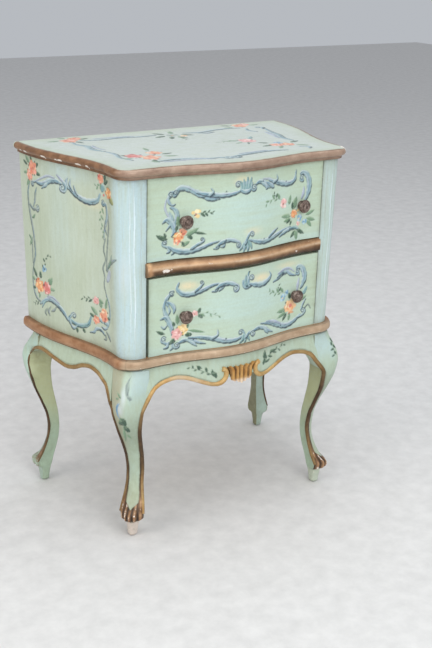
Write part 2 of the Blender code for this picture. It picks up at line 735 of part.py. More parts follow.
# Stand
for side, word in ((-1, "left"), (1, "right")):
    make_leg("front_" + word + "_leg", side * FRONT_LEG_X, FRONT_LEG_Y, "paint")
    make_leg("rear_" + word + "_leg", side * REAR_LEG_X, REAR_LEG_Y, "paint")
    make_apron(word + "_apron", side_apron_stations(side), "paint")
    glue_low = LEG_HEIGHT - GAP - BLOCK_HEIGHT
    glue_high = LEG_HEIGHT - GAP
    front_x = sorted((side * (FRONT_BLOCK_IN_X - GAP), side * (FRONT_BLOCK_IN_X - GAP - BLOCK_SIDE)))
    front_y = FACE_END_Y + APRON_THICK + GAP
    block(
        "front_" + word + "_block",
        (front_x[0], front_y, glue_low),
        (front_x[1], front_y + BLOCK_SIDE, glue_high),
        "wood",
    )
    rear_x = sorted((side * (REAR_BLOCK_IN_X - GAP), side * (REAR_BLOCK_IN_X - GAP - BLOCK_SIDE)))
    rear_y = REAR_BLOCK_OUT_Y - APRON_THICK - 2 * GAP
    block(
        "rear_" + word + "_block",
        (rear_x[0], rear_y - BLOCK_SIDE, glue_low),
        (rear_x[1], rear_y, glue_high),
        "wood",
    )
make_apron("front_apron", front_apron_stations(), "paint")
rear_half = REAR_BLOCK_IN_X - GAP
block(
    "back_apron",
    (-rear_half, REAR_BLOCK_OUT_Y - APRON_THICK - GAP, LEG_HEIGHT - GAP - BACK_APRON_DROP),
    (rear_half, REAR_BLOCK_OUT_Y - GAP, LEG_HEIGHT - GAP),
    "wood",
)
make_shell()
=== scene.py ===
"""Looks of a small painted nightstand: aged green paint, gilt mouldings, scrolls and posies."""

import math

import bmesh
import bpy
import numpy as np
from mathutils import Matrix, Vector


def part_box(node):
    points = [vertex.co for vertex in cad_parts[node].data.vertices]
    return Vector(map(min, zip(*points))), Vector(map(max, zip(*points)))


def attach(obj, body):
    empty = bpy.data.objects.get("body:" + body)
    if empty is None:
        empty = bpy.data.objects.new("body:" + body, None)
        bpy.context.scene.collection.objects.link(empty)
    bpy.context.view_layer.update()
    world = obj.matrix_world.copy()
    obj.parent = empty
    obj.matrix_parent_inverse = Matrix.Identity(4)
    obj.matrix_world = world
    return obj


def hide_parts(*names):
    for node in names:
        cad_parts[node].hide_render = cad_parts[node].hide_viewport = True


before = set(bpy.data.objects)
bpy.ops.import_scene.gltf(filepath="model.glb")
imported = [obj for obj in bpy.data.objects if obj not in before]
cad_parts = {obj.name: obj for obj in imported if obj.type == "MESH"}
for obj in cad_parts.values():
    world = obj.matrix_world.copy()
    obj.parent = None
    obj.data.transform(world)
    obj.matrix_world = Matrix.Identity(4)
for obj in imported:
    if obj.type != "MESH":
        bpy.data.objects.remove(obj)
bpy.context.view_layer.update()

# The case, in metres, as its CAD model has it.
HEIGHT = 0.680
BACK_Y = 0.168
CASE_BACK_Y = 0.165
CASE_BACK_HALF = 0.274
CASE_FRONT_HALF = 0.2245
SIDE_SWEEP = 0.260
SIDE_POWER = 1.2
SIDE_THICK = 0.016
FACE_END_Y = -0.134
BOW = 0.021
BOW_HALF = 0.155
OPENING_HALF = 0.184
POST_BACK_Y = -0.0863
POST_RADIUS = 0.028
# Middle of the corner post's rounding.
POST_X = CASE_FRONT_HALF - POST_RADIUS
POST_Y = FACE_END_Y + POST_RADIUS
GAP = 0.0003

TOP_OVERHANG = 0.013
TOP_STRETCH = 1.016
SIDE_FLARE = 0.008
TOP_RADIUS = 0.034
TOP_EDGE_RADIUS = 0.0065
TOP_STEP = 0.005
CASE_TOP_Z = 0.662
# Depth y and half length of the bare patches under the top's left edge.
LOST_RIM = [(0.140, 0.004), (0.122, 0.006), (0.068, 0.007), (0.030, 0.010), (-0.017, 0.007), (-0.040, 0.004)]

PANEL_LOW = 0.344
MOULD_LOW = 0.3255
MOULD_HEIGHT = 0.0195
MOULD_OUT = 0.011
# Share of the moulding's height, then of its reach.
MOULD_SECTION = [(0.0, 0.70), (0.08, 0.72), (0.14, 0.86), (0.24, 0.96), (0.38, 1.0), (0.55, 1.0),
                 (0.70, 0.97), (0.82, 0.90), (0.92, 0.80), (1.0, 0.66), (1.0, GAP / MOULD_OUT),
                 (0.0, GAP / MOULD_OUT)]
CORNER_RADIUS = 0.040
BEAD_LOW = 0.491
BEAD_HEIGHT = 0.025
BEAD_OUT = 0.0105
BEAD_HALF = 0.186
# Place and width of the divider bead's worn left end.
BEAD_END = (-0.181, 0.006)

FRONT_HALF = 0.1828
FRONT_BACK_Y = -0.116
DRAWER_LOW = {"upper_drawer": 0.517, "lower_drawer": 0.346}
# Left edge, lower edge and upper edge of each painted face: the lower drawer sits loose in its opening.
DRAWER_FACES = {"upper_drawer": (-0.1826, 0.517, 0.661), "lower_drawer": (-0.1787, 0.3442, 0.4864)}
# Points across a drawer face, and the cuts of its height, made one after the other.
DRAWER_COLUMNS = 341
DRAWER_CUTS = (11, 10)
KNOB_RADIUS = 0.0124
KNOB_LENGTH = 0.0175
KNOB_FOOT = 0.0085
# Share of the knob's foot radius, then of its length.
KNOB_SECTION = [(0.0, 0.0), (0.96, 0.0), (1.0, 0.05), (0.96, 0.13), (0.74, 0.18), (0.66, 0.26), (0.70, 0.36),
                (0.98, 0.46), (1.30, 0.54), (1.42, 0.62), (1.44, 0.70), (1.36, 0.79), (1.20, 0.84),
                (1.13, 0.82), (1.06, 0.83), (0.98, 0.89), (0.84, 0.91), (0.74, 0.88), (0.64, 0.88),
                (0.56, 0.93), (0.40, 0.97), (0.22, 0.995), (0.0, 1.0)]
KNOB_STEPS = 48
KNOB_PLACES = {
    "upper_drawer": {"left": -0.1131, "right": 0.1367},
    "lower_drawer": {"left": -0.1105, "right": 0.1315},
}
KNOB_RISE = 0.0655

LEG_HEIGHT = 0.3255
LEG_BLOCK = 0.050
LEG_CORNER = 0.0115
LEG_LEAN = 0.0103
FEET = {
    "front_left": (-0.2085, -0.131),
    "front_right": (0.2085, -0.131),
    "rear_left": (-0.2595, 0.1455),
    "rear_right": (0.2595, 0.1455),
}
# Height up the leg, lean, outer swell, corner, half width, inner swell, outer and inner roundness.
LEG_STATIONS = [
    (0.0, 0.0, 0.185, 0.0, 0.185, -0.185, 2.0, 2.0),
    (0.092, 0.0, 0.27, 0.0, 0.27, -0.27, 2.0, 2.0),
    (0.110, 0.0, 0.48, 0.09, 0.43, -0.32, 1.8, 1.4),
    (0.138, 0.0, 0.524, 0.11, 0.456, -0.37, 1.7, 1.1),
    (0.192, 0.0, 0.18, -0.04, 0.406, -0.46, 1.9, 1.0),
    (0.261, 0.0, -0.058, -0.19, 0.33, -0.584, 2.0, 1.0),
    (0.326, 0.0, -0.186, -0.294, 0.29, -0.664, 2.0, 1.0),
    (0.384, 0.0, -0.208, -0.344, 0.294, -0.69, 2.0, 1.0),
    (0.461, 0.016, -0.17, -0.296, 0.31, -0.676, 2.0, 1.0),
    (0.553, 0.068, -0.016, -0.14, 0.352, -0.62, 1.9, 1.0),
    (0.653, 0.142, 0.25, 0.02, 0.424, -0.58, 1.8, 1.0),
    (0.753, 0.192, 0.46, 0.07, 0.54, -0.594, 1.7, 1.0),
    (0.823, 0.206, 0.514, -0.17, 0.636, -0.68, 1.6, 1.0),
]
# Height up the leg, outer swell and roundness where the knee runs into the square block.
KNEE_STATIONS = [(0.871, 0.450, 1.55), (0.922, 0.280, 1.50), (1.0, 0.030, 1.40)]
# Height up a rear leg and how far the side arch cuts back into it.
REAR_ARCH = [(0.70, 0.0), (0.74, 0.005), (0.78, 0.015), (0.82, 0.027), (0.86, 0.035), (0.89, 0.030),
             (0.92, 0.008), (0.935, 0.0)]

APRON_TOP = LEG_HEIGHT - GAP
APRON_THICK = 0.016
APRON_END_X = 0.180
APRON_REACH_X = 0.1925
SIDE_APRON_FRONT_Y = -0.098
SIDE_APRON_BACK_Y = 0.134
# Distance from the middle, then the drop of the front apron's lower edge.
FRONT_EDGE = [(0.0, 0.0380), (0.030, 0.0400), (0.038, 0.0470), (0.049, 0.0512), (0.057, 0.0505),
              (0.0748, 0.0445), (0.0976, 0.0350), (0.1128, 0.0300), (0.1282, 0.0278), (0.1494, 0.0305),
              (0.171, 0.0390), (0.1871, 0.0585), (0.1977, 0.0768)]
# Depth y, then the drop of the side apron's lower edge.
SIDE_EDGE = [(-0.1083, 0.0881), (-0.0909, 0.0637), (-0.0828, 0.0446), (-0.0712, 0.0376), (-0.0538, 0.0280),
             (-0.0316, 0.0239), (-0.0136, 0.0271), (0.0098, 0.0374), (0.0273, 0.0403), (0.0482, 0.0362),
             (0.0671, 0.0315), (0.0840, 0.0274), (0.0975, 0.0262), (0.1107, 0.0287), (0.1240, 0.0340),
             (0.1382, 0.0436)]

# Size of the small plane that a drawn line starts from, and the distance within which points are joined.
SEED = 0.001
WELD = 0.000004
MM = 1000
HALF_ROOT = math.sqrt(0.5)


def rgb(red, green, blue):
    """A colour as seen on a screen, in the linear values that Blender mixes."""
    screen = np.array((red, green, blue)) / 255
    return np.where(screen <= 0.04045, screen / 12.92, ((screen + 0.055) / 1.055) ** 2.4)


def rgba(red, green, blue):
    return (*rgb(red, green, blue), 1.0)


def side_x(y):
    """Half width of the case at depth y: wide behind, drawn in towards the front."""
    t = min(max((BACK_Y - y) / SIDE_SWEEP, 0.0), 1.0) ** SIDE_POWER
    return CASE_FRONT_HALF + (CASE_BACK_HALF - CASE_FRONT_HALF) * 0.5 * (1 + math.cos(math.pi * t))


def face_y(x):
    """Depth of the bowed drawer face at x."""
    if abs(x) >= BOW_HALF:
        return FACE_END_Y
    return FACE_END_Y - BOW * 0.5 * (1 + math.cos(math.pi * x / BOW_HALF))


def half_outline(offset, radius, back_y, counts):
    """Right half of the case's outline from the back to the middle of the front."""
    side_count, arc_count, front_count = counts
    corner_y = FACE_END_Y - offset + radius
    corner_x = CASE_FRONT_HALF + offset - radius
    line = [(side_x(y) + offset, y) for y in np.linspace(back_y, corner_y, side_count, endpoint=False)]
    for angle in np.linspace(0, -0.5 * math.pi, arc_count, endpoint=False):
        line.append((corner_x + radius * math.cos(angle), corner_y + radius * math.sin(angle)))
    line += [(x, face_y(x) - offset) for x in np.linspace(corner_x, 0, front_count)]
    return line


def spaced(line, count):
    """The same line with count + 1 evenly spaced points."""
    line = np.asarray(line, dtype=float)
    reach = np.concatenate(([0], np.cumsum(np.linalg.norm(np.diff(line, axis=0), axis=1))))
    stops = np.linspace(0, reach[-1], count + 1)
    return np.column_stack([np.interp(stops, reach, line[:, k]) for k in range(line.shape[1])])


def smooth_step(low, high, value):
    t = np.clip((value - low) / (high - low), 0, 1)
    return t * t * (3 - 2 * t)


def bell(value, middle, width):
    """1 at the middle, falling away smoothly to both sides."""
    return np.exp(-((value - middle) / width) ** 2)


def each(act, rows):
    """Calls act with the values of each row."""
    for row in rows:
        act(*row)


def open_piece():
    """Starts an empty mesh and opens it for drawing."""
    bpy.ops.object.select_all(action="DESELECT")
    bpy.ops.mesh.primitive_plane_add(size=SEED)
    bpy.ops.object.mode_set(mode="EDIT")
    bpy.ops.mesh.select_mode(type="VERT")
    bpy.ops.mesh.delete(type="VERT")
    return bpy.context.object


def draw(line):
    """Draws a line of edges through the points, one extruded point after another."""
    bpy.ops.mesh.select_mode(type="VERT")
    bpy.ops.mesh.select_all(action="DESELECT")
    bpy.ops.mesh.primitive_plane_add(size=SEED, location=line[0])
    bpy.ops.mesh.merge(type="CENTER")
    for a, b in zip(line, line[1:]):
        step = (b[0] - a[0], b[1] - a[1], b[2] - a[2])
        bpy.ops.mesh.extrude_vertices_move(TRANSFORM_OT_translate={"value": step})


def pick_all():
    bpy.ops.mesh.select_all(action="SELECT")


def pick_piece(piece):
    """Makes the piece the active one and the only one selected."""
    bpy.ops.object.select_all(action="DESELECT")
    piece.select_set(True)
    bpy.context.view_layer.objects.active = piece


def weld():
    pick_all()
    bpy.ops.mesh.remove_doubles(threshold=WELD)


def extrude_up(rise):
    bpy.ops.mesh.extrude_region_move(TRANSFORM_OT_translate={"value": (0, 0, rise)})


def turn_faces_out():
    pick_all()
    bpy.ops.mesh.normals_make_consistent(inside=False)


def skin(rows, rings=False, closed=False, cuts=0):
    """A piece bridged through rows of points; rings are closed rows, closed joins the last to the first."""
    piece = open_piece()
    for row in rows:
        draw([*row, row[0]] if rings else row)
    if rings:
        weld()
    pick_all()
    bpy.ops.mesh.bridge_edge_loops(type="CLOSED" if closed else "SINGLE")
    if cuts:
        pick_all()
        bpy.ops.mesh.subdivide(number_cuts=cuts)
    pick_all()
    bpy.ops.mesh.fill_holes(sides=0)
    turn_faces_out()
    return piece, leave_edit(piece)


def points_of(piece):
    flat = np.empty(3 * len(piece.data.vertices), dtype=np.float32)
    piece.data.vertices.foreach_get("co", flat)
    return flat.reshape(-1, 3).astype(float)


def leave_edit(piece):
    """Leaves edit mode and gives the piece's points."""
    bpy.ops.object.mode_set(mode="OBJECT")
    return points_of(piece)


def pick_edges(piece, test):
    """Selects the edges whose two ends pass the test."""
    bpy.ops.mesh.select_mode(type="EDGE")
    bpy.ops.mesh.select_all(action="DESELECT")
    bpy.ops.object.mode_set(mode="OBJECT")
    spots = points_of(piece)
    ends = np.empty(2 * len(piece.data.edges), dtype=np.int32)
    piece.data.edges.foreach_get("vertices", ends)
    piece.data.edges.foreach_set("select", test(spots[ends[0::2]], spots[ends[1::2]]))
    bpy.ops.object.mode_set(mode="EDIT")


def pick_faces(piece, test):
    """Selects the faces that pass the test."""
    bpy.ops.mesh.select_mode(type="FACE")
    bpy.ops.mesh.select_all(action="DESELECT")
    bpy.ops.object.mode_set(mode="OBJECT")
    for face in piece.data.polygons:
        face.select = test(face)
    bpy.ops.object.mode_set(mode="EDIT")


def close_piece(piece, name, body, material, nodes=(), angle=40):
    """Leaves edit mode, smooths the piece and ties it to the frame."""
    if piece.mode == "EDIT":
        bpy.ops.object.mode_set(mode="OBJECT")
    pick_piece(piece)
    bpy.ops.object.shade_smooth_by_angle(angle=math.radians(angle))
    piece.name = name
    piece.data.name = name
    piece.data.materials.clear()
    piece.data.materials.append(material)
    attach(piece, body)
    if nodes:
        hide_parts(*nodes)


def store(piece, name, values):
    """Keeps four values for each point, which a material reads by name."""
    layer = piece.data.attributes.new(name, "FLOAT_COLOR", "POINT")
    layer.data.foreach_set("color", np.asarray(values, dtype=np.float32).ravel())


def store_age(piece, grime_and_shade=0.0, chips=0.0, gilt=0.0, pale=0.0):
    """Keeps grime and painted shade, bare gesso, gilding (a painted highlight on gilt pieces) and paleness,
    partly painted light, for each point.
    """
    values = np.zeros((len(piece.data.vertices), 4))
    for k, share in enumerate((grime_and_shade, chips, gilt, pale)):
        values[:, k] = np.clip(share, 0, 1)
    store(piece, "age", values)
    if "art" not in piece.data.attributes:
        store(piece, "art", np.zeros((len(values), 4)))


# Materials.


EVEN = (1, 1, 1)


def feed(tree, node, values):
    """Links or sets a node's inputs."""
    for key, value in values.items():
        if isinstance(value, bpy.types.NodeSocket):
            tree.links.new(value, node.inputs[key])
        else:
            node.inputs[key].default_value = value


def add(tree, kind, values=None, **settings):
    """Adds a node with its settings and its inputs."""
    node = tree.nodes.new(kind)
    for key, value in settings.items():
        setattr(node, key, value)
    feed(tree, node, values or {})
    return node


def new_material(name):
    material = bpy.data.materials.new(name)
    material.use_nodes = True
    tree = material.node_tree
    tree.nodes.clear()
    shader = add(tree, "ShaderNodeBsdfPrincipled")
    output = add(tree, "ShaderNodeOutputMaterial", {"Surface": shader.outputs[0]})
    output.is_active_output = True
    return material, tree, shader


def placed(tree, scale):
    """Object coordinates stretched by scale."""
    coords = add(tree, "ShaderNodeTexCoord")
    mapping = add(tree, "ShaderNodeMapping", {"Vector": coords.outputs["Object"], "Scale": scale})
    return mapping.outputs[0]


def noise(tree, scale, size, detail=4.0, rough=0.55, distortion=0.0):
    """Noise over the object, its coordinates stretched by scale."""
    values = {"Vector": placed(tree, scale), "Scale": size, "Detail": detail}
    values.update({"Roughness": rough, "Distortion": distortion})
    return add(tree, "ShaderNodeTexNoise", values).outputs[0]


def stops_of(places, *tones):
    """Stops of a ramp from their places and their colours as seen on a screen."""
    return [(place, rgba(*tone)) for place, tone in zip(places, tones)]


def ramp(tree, factor, stops):
    """Colours along a factor, given as (place, colour)."""
    node = add(tree, "ShaderNodeValToRGB", {"Fac": factor})
    elements = node.color_ramp.elements
    while len(elements) < len(stops):
        elements.new(0.5)
    for element, (place, colour) in zip(elements, stops):
        element.position = place
        element.color = colour
    return node.outputs[0]


def level(tree, factor, low, high, to_low=0.0, to_high=1.0):
    """Stretches a factor from low..high to to_low..to_high."""
    values = {"Value": factor, 1: low, 2: high, 3: to_low, 4: to_high}
    return add(tree, "ShaderNodeMapRange", values, clamp=True).outputs[0]


def times(tree, a, b):
    return add(tree, "ShaderNodeMath", {0: a, 1: b}, operation="MULTIPLY").outputs[0]


def plus(tree, a, b):
    return add(tree, "ShaderNodeMath", {0: a, 1: b}, operation="ADD").outputs[0]


def mix(tree, factor, a, b, mode="MIX"):
    """Mixes two colours by a factor."""
    node = add(tree, "ShaderNodeMix", {0: factor, 6: a, 7: b}, data_type="RGBA", blend_type=mode)
    return node.outputs[2]


def bumps(tree, shader, height, strength, distance):
    node = add(tree, "ShaderNodeBump", {"Height": height, "Strength": strength, "Distance": distance})
    tree.links.new(node.outputs[0], shader.inputs["Normal"])


GESSO = rgba(232, 222, 212)
# Tone that darkens grime and painted shade.
GRIME_AND_SHADE = rgba(128, 108, 72)
# Places along a ramp, then the tones there, from the worn to the bright ones.
GOLDS = {
    "warm": ((0.25, 0.45, 0.62, 0.8), (82, 54, 36), (122, 86, 58), (152, 112, 80), (186, 150, 118)),
    "faded": ((0.2, 0.42, 0.62, 0.82), (104, 78, 62), (150, 122, 104), (172, 146, 126), (204, 184, 162)),
    "rose": ((0.2, 0.42, 0.62, 0.82), (132, 100, 74), (174, 146, 118), (194, 168, 140), (222, 206, 180)),
    "dusk": ((0.2, 0.42, 0.62, 0.82), (44, 28, 16), (76, 52, 30), (110, 80, 52), (156, 122, 86)),
    "umber": ((0.2, 0.42, 0.62, 0.82), (110, 72, 44), (150, 106, 72), (174, 132, 98), (200, 166, 134)),
    "ochre": ((0.2, 0.42, 0.62, 0.85), (138, 88, 36), (184, 132, 66), (212, 168, 102), (236, 206, 150)),
    "dark": ((0.2, 0.45, 0.65, 0.85), (36, 22, 12), (58, 38, 22), (88, 60, 36), (146, 108, 68)),
    "bronze": ((0.2, 0.42, 0.62, 0.82), (116, 80, 54), (176, 132, 94), (210, 168, 126), (234, 206, 168)),
    "straw": ((0.2, 0.42, 0.62, 0.85), (168, 118, 60), (208, 162, 96), (230, 196, 134), (244, 222, 176)),
    "cream": ((0.2, 0.42, 0.62, 0.85), (190, 146, 116), (218, 182, 150), (234, 208, 180), (248, 232, 212)),
}


def gold_colour(tree, kinds, streak, share):
    """Rubbed gilding in patches and fine streaks, from the first kind to the second by share."""
    patches = noise(tree, EVEN, 55, 6, 0.62, 0.4)
    streaks = noise(tree, streak, 24, 4, 0.6)
    blended = plus(tree, times(tree, patches, 0.6), times(tree, streaks, 0.4))
    first, second = (ramp(tree, blended, stops_of(*GOLDS[kind])) for kind in kinds)
    return mix(tree, share, first, second), blended


def age_of(tree):
    """The four values that store_age keeps."""
    age = add(tree, "ShaderNodeAttribute", attribute_name="age")
    return *add(tree, "ShaderNodeSeparateColor", {0: age.outputs["Color"]}).outputs, age.outputs["Alpha"]


def bare_spots(tree, chips, size, low, high):
    """Pitted patches where the gesso shows, with the pits themselves."""
    pits = noise(tree, EVEN, size, 5, 0.75)
    return level(tree, plus(tree, pits, times(tree, chips, 0.5)), low, high), pits


def painted_wood(name, tones, brush, bloom, gold=("ochre", "ochre"), gloss=0.42):
    """Aged paint with brush marks, cracks, grime and painted shade, and bare gesso, under its ornament and
    gilding.
    """
    material, tree, shader = new_material(name)
    art = add(tree, "ShaderNodeAttribute", attribute_name="art")
    grime_and_shade, chips, gilt, pale = age_of(tree)

    cloud = noise(tree, EVEN, 7, 5, 0.6, 0.3)
    marks = noise(tree, brush, 16, 5, 0.65)
    fine = noise(tree, EVEN, 260, 3, 0.6)
    tone = plus(tree, times(tree, cloud, 0.55), times(tree, marks, 0.45))
    colour = ramp(tree, tone, stops_of((0.3, 0.5, 0.7), *tones))
    faded = times(tree, pale, level(tree, marks, 0.32, 0.68, 0.45, 1.0))
    colour = mix(tree, faded, colour, rgba(*bloom))
    colour = mix(tree, level(tree, fine, 0.3, 0.75, 0.0, 0.2), colour, rgba(150, 164, 144))

    worn = level(tree, noise(tree, EVEN, 190, 4, 0.7), 0.3, 0.5, 0.62, 1.0)
    colour = mix(tree, times(tree, art.outputs["Alpha"], worn), colour, art.outputs["Color"])

    dirt = noise(tree, EVEN, 38, 6, 0.7, 0.6)
    grime_and_shade_share = times(tree, grime_and_shade, level(tree, dirt, 0.28, 0.7, 0.15, 1.0))
    colour = mix(tree, grime_and_shade_share, colour, GRIME_AND_SHADE, "MULTIPLY")

    cracks = add(tree, "ShaderNodeTexVoronoi", {"Vector": placed(tree, (1, 1, 0.55)), "Scale": 85.0},
                 feature="DISTANCE_TO_EDGE").outputs[0]
    cracked = times(tree, level(tree, cracks, 0.0, 0.018, 1.0, 0.0), level(tree, dirt, 0.45, 0.7, 0.0, 0.3))
    colour = mix(tree, cracked, colour, rgba(120, 116, 84))

    gilding, _ = gold_colour(tree, gold, (1, 1, 4), pale)
    edge = plus(tree, gilt, level(tree, dirt, 0.3, 0.7, -0.25, 0.25))
    gold_share = level(tree, edge, 0.42, 0.58)
    gilding = mix(tree, grime_and_shade_share, gilding, GRIME_AND_SHADE, "MULTIPLY")
    colour = mix(tree, gold_share, colour, gilding)

    bare, _ = bare_spots(tree, chips, 120, 0.82, 0.86)
    feed(tree, shader, {
        "Base Color": mix(tree, bare, colour, GESSO),
        "Metallic": times(tree, gold_share, 0.2),
        "Roughness": level(tree, dirt, 0.3, 0.7, gloss, gloss + 0.2),
        "Coat Weight": 0.12,
        "Coat Roughness": 0.3,
    })
    height = plus(tree, times(tree, marks, 0.5), times(tree, fine, 0.2))
    height = plus(tree, height, times(tree, bare, -0.8))
    bumps(tree, shader, height, 0.35, 0.0006)
    return material


def gilt_wood(name, gold, streak):
    """Rubbed gilding on a moulding, with grime and painted shade in its hollows, a painted highlight, and
    chips down to the gesso.
    """
    material, tree, shader = new_material(name)
    grime_and_shade, chips, bright, light = age_of(tree)
    # The fourth value turns the gilding to its lighter kind, in part painted light.
    colour, height = gold_colour(tree, gold, streak, light)
    dirt = noise(tree, EVEN, 70, 6, 0.72, 0.5)
    # A painted highlight in cream where the third value is set.
    shine = times(tree, bright, level(tree, dirt, 0.3, 0.6, 0.25, 1.0))
    colour = mix(tree, shine, colour, rgba(240, 222, 194))
    soil_and_shade = times(tree, grime_and_shade, level(tree, dirt, 0.25, 0.65, 0.35, 1.0))
    colour = mix(tree, soil_and_shade, colour, rgba(74, 52, 36), "MULTIPLY")
    bare, pits = bare_spots(tree, chips, 150, 0.80, 0.84)
    feed(tree, shader, {
        "Base Color": mix(tree, bare, colour, GESSO),
        "Metallic": level(tree, bare, 0.0, 1.0, 0.25, 0.0),
        "Roughness": level(tree, dirt, 0.3, 0.7, 0.34, 0.58),
    })
    rough = plus(tree, times(tree, height, 0.5), times(tree, pits, 0.35))
    bumps(tree, shader, plus(tree, rough, times(tree, bare, -0.6)), 0.5, 0.0008)
    return material


def bare_wood(name, dark, light, grain, rings):
    """Plain planed wood: grain along one axis with darker pores and age stains."""
    material, tree, shader = new_material(name)
    waves = noise(tree, grain, rings, 5, 0.6, 0.8)
    pores = noise(tree, tuple(3 * g for g in grain), 5 * rings, 3, 0.7)
    stain = noise(tree, EVEN, 9, 4, 0.6, 0.4)
    between = tuple(0.5 * (a + b) for a, b in zip(dark, light))
    colour = ramp(tree, waves, [(0.3, dark), (0.5, between), (0.68, light)])
    colour = mix(tree, level(tree, pores, 0.55, 0.75, 0.0, 0.35), colour, dark, "MULTIPLY")
    colour = mix(tree, level(tree, stain, 0.4, 0.75, 0.0, 0.4), colour, rgba(150, 118, 84), "MULTIPLY")
    feed(tree, shader, {"Base Color": colour, "Roughness": level(tree, waves, 0.3, 0.7, 0.55, 0.75)})
    bumps(tree, shader, plus(tree, waves, times(tree, pores, 0.5)), 0.25, 0.0006)
    return material


def bronze_knob():
    """Brown patinated bronze with rubbed brighter edges."""
    material, tree, shader = new_material("knob_bronze")
    patches = noise(tree, EVEN, 180, 5, 0.65, 0.4)
    stops = stops_of((0.3, 0.5, 0.7), (68, 56, 50), (114, 97, 88), (170, 154, 144))
    feed(tree, shader, {
        "Base Color": ramp(tree, patches, stops),
        "Metallic": 0.6,
        "Roughness": level(tree, patches, 0.3, 0.7, 0.34, 0.55),
    })
    bumps(tree, shader, patches, 0.4, 0.0005)
    return material


def screw_steel():
    """Dull zinc-grey steel, spotted with rust."""
    material, tree, shader = new_material("screw_steel")
    spots = noise(tree, EVEN, 420, 4, 0.65)
    stops = stops_of((0.35, 0.55, 0.72), (150, 150, 148), (122, 118, 112), (116, 84, 60))
    feed(tree, shader, {
        "Base Color": ramp(tree, spots, stops),
        "Metallic": 0.85,
        "Roughness": level(tree, spots, 0.3, 0.7, 0.35, 0.6),
    })
    return material


# Brushwork, in millimetres on each face.

SOFT_EDGE = 0.9
PATH_STEP = 0.8
SCROLL_GAIN = 1.15
LOBE_LENGTH = 11.0
LOBE_DEPTH = 0.08
LEAF_LENGTH = 1.12
LEAF_WIDTH = 1.3
# Scrolls with a smaller half width get no shades and veins.
PLAIN_HALF = 2.2
LIGHT_FROM = np.array((-0.4, 0.917))
SLATE = (rgb(38, 58, 72), rgb(146, 173, 180), rgb(202, 215, 214))
TEAL = (rgb(34, 66, 76), rgb(122, 158, 160), rgb(184, 208, 204))
LILAC = rgb(168, 174, 200)
DEEP = rgb(88, 132, 156)
EYE = rgb(198, 216, 212)
# Distance from the drawer opening, tone, width and strength of the streaks down a corner post: brush
# streaks, and two white ones that are a painted reflection.
POST_STREAKS_AND_SHEEN = ((9, rgb(160, 144, 124), 1.3, 0.5), (20, rgb(228, 240, 246), 3.0, 0.6),
                (27, rgb(232, 242, 246), 1.8, 0.6), (38, rgb(186, 198, 186), 1.6, 0.5))
MIST = (rgb(128, 138, 156), rgb(174, 184, 198), rgb(208, 216, 222))
VINE = (rgb(88, 100, 98), rgb(132, 146, 140), rgb(170, 182, 172))
MOSS = (rgb(30, 46, 40), rgb(62, 88, 72), rgb(112, 140, 110))
SAGE = (rgb(70, 98, 82), rgb(116, 146, 118), rgb(160, 184, 152))
OLIVE = (rgb(92, 98, 56), rgb(142, 146, 92), rgb(184, 186, 132))
CORAL = (rgb(188, 84, 64), rgb(230, 146, 114), rgb(248, 204, 172))
ORANGE = (rgb(196, 92, 48), rgb(232, 150, 92), rgb(248, 206, 150))
PEACH = (rgb(214, 138, 92), rgb(240, 190, 142), rgb(250, 224, 186))
YELLOW = (rgb(206, 152, 84), rgb(240, 206, 138), rgb(250, 232, 186))
PINK = (rgb(196, 116, 118), rgb(232, 168, 166), rgb(248, 212, 206))
ROSE = (rgb(170, 62, 66), rgb(212, 104, 100), rgb(238, 164, 150))
BLUE = (rgb(66, 108, 148), rgb(112, 158, 192), rgb(178, 206, 222))
GLOW = rgb(234, 216, 176)
# Inner faces of the legs: lighter green low down and olive up under the case, as painted light and painted
# shade.
INNER_LEG_SHADE_AND_LIGHT = (rgb(176, 202, 178), rgb(178, 182, 136))
# The rear right leg's inner faces: painted shade on those turned left, painted light on the rest.
REAR_RIGHT_LEG_SHADE_AND_LIGHT = (rgb(126, 120, 80), rgb(184, 208, 198))
# Painted shade on the front knees' left halves and their shafts, a painted highlight on the knees' right.
KNEE_SHADE = rgb(174, 164, 132)
SHAFT_SHADE = rgb(126, 134, 112)
KNEE_LIGHT = rgb(180, 202, 206)
PEGS = {"front_left": rgb(224, 210, 200), "front_right": rgb(200, 210, 192)}


def smooth_line(points):
    """A curve that passes through the points, in short steps."""
    points = np.asarray(points, dtype=float)
    if len(points) == 2:
        count = max(int(np.linalg.norm(points[1] - points[0]) / PATH_STEP), 2)
        return points[0] + np.linspace(0, 1, count)[:, None] * (points[1] - points[0])
    padded = np.vstack((2 * points[0] - points[1], points, 2 * points[-1] - points[-2]))
    parts = []
    for k in range(1, len(padded) - 2):
        p0, p1, p2, p3 = padded[k - 1:k + 3]
        count = max(int(np.linalg.norm(p2 - p1) / PATH_STEP), 2)
        t = np.linspace(0, 1, count, endpoint=False)[:, None]
        parts.append(0.5 * (2 * p1 + (p2 - p0) * t + (2 * p0 - 5 * p1 + 4 * p2 - p3) * t**2
                            + (3 * p1 - p0 - 3 * p2 + p3) * t**3))
    return np.vstack((*parts, points[-1:]))


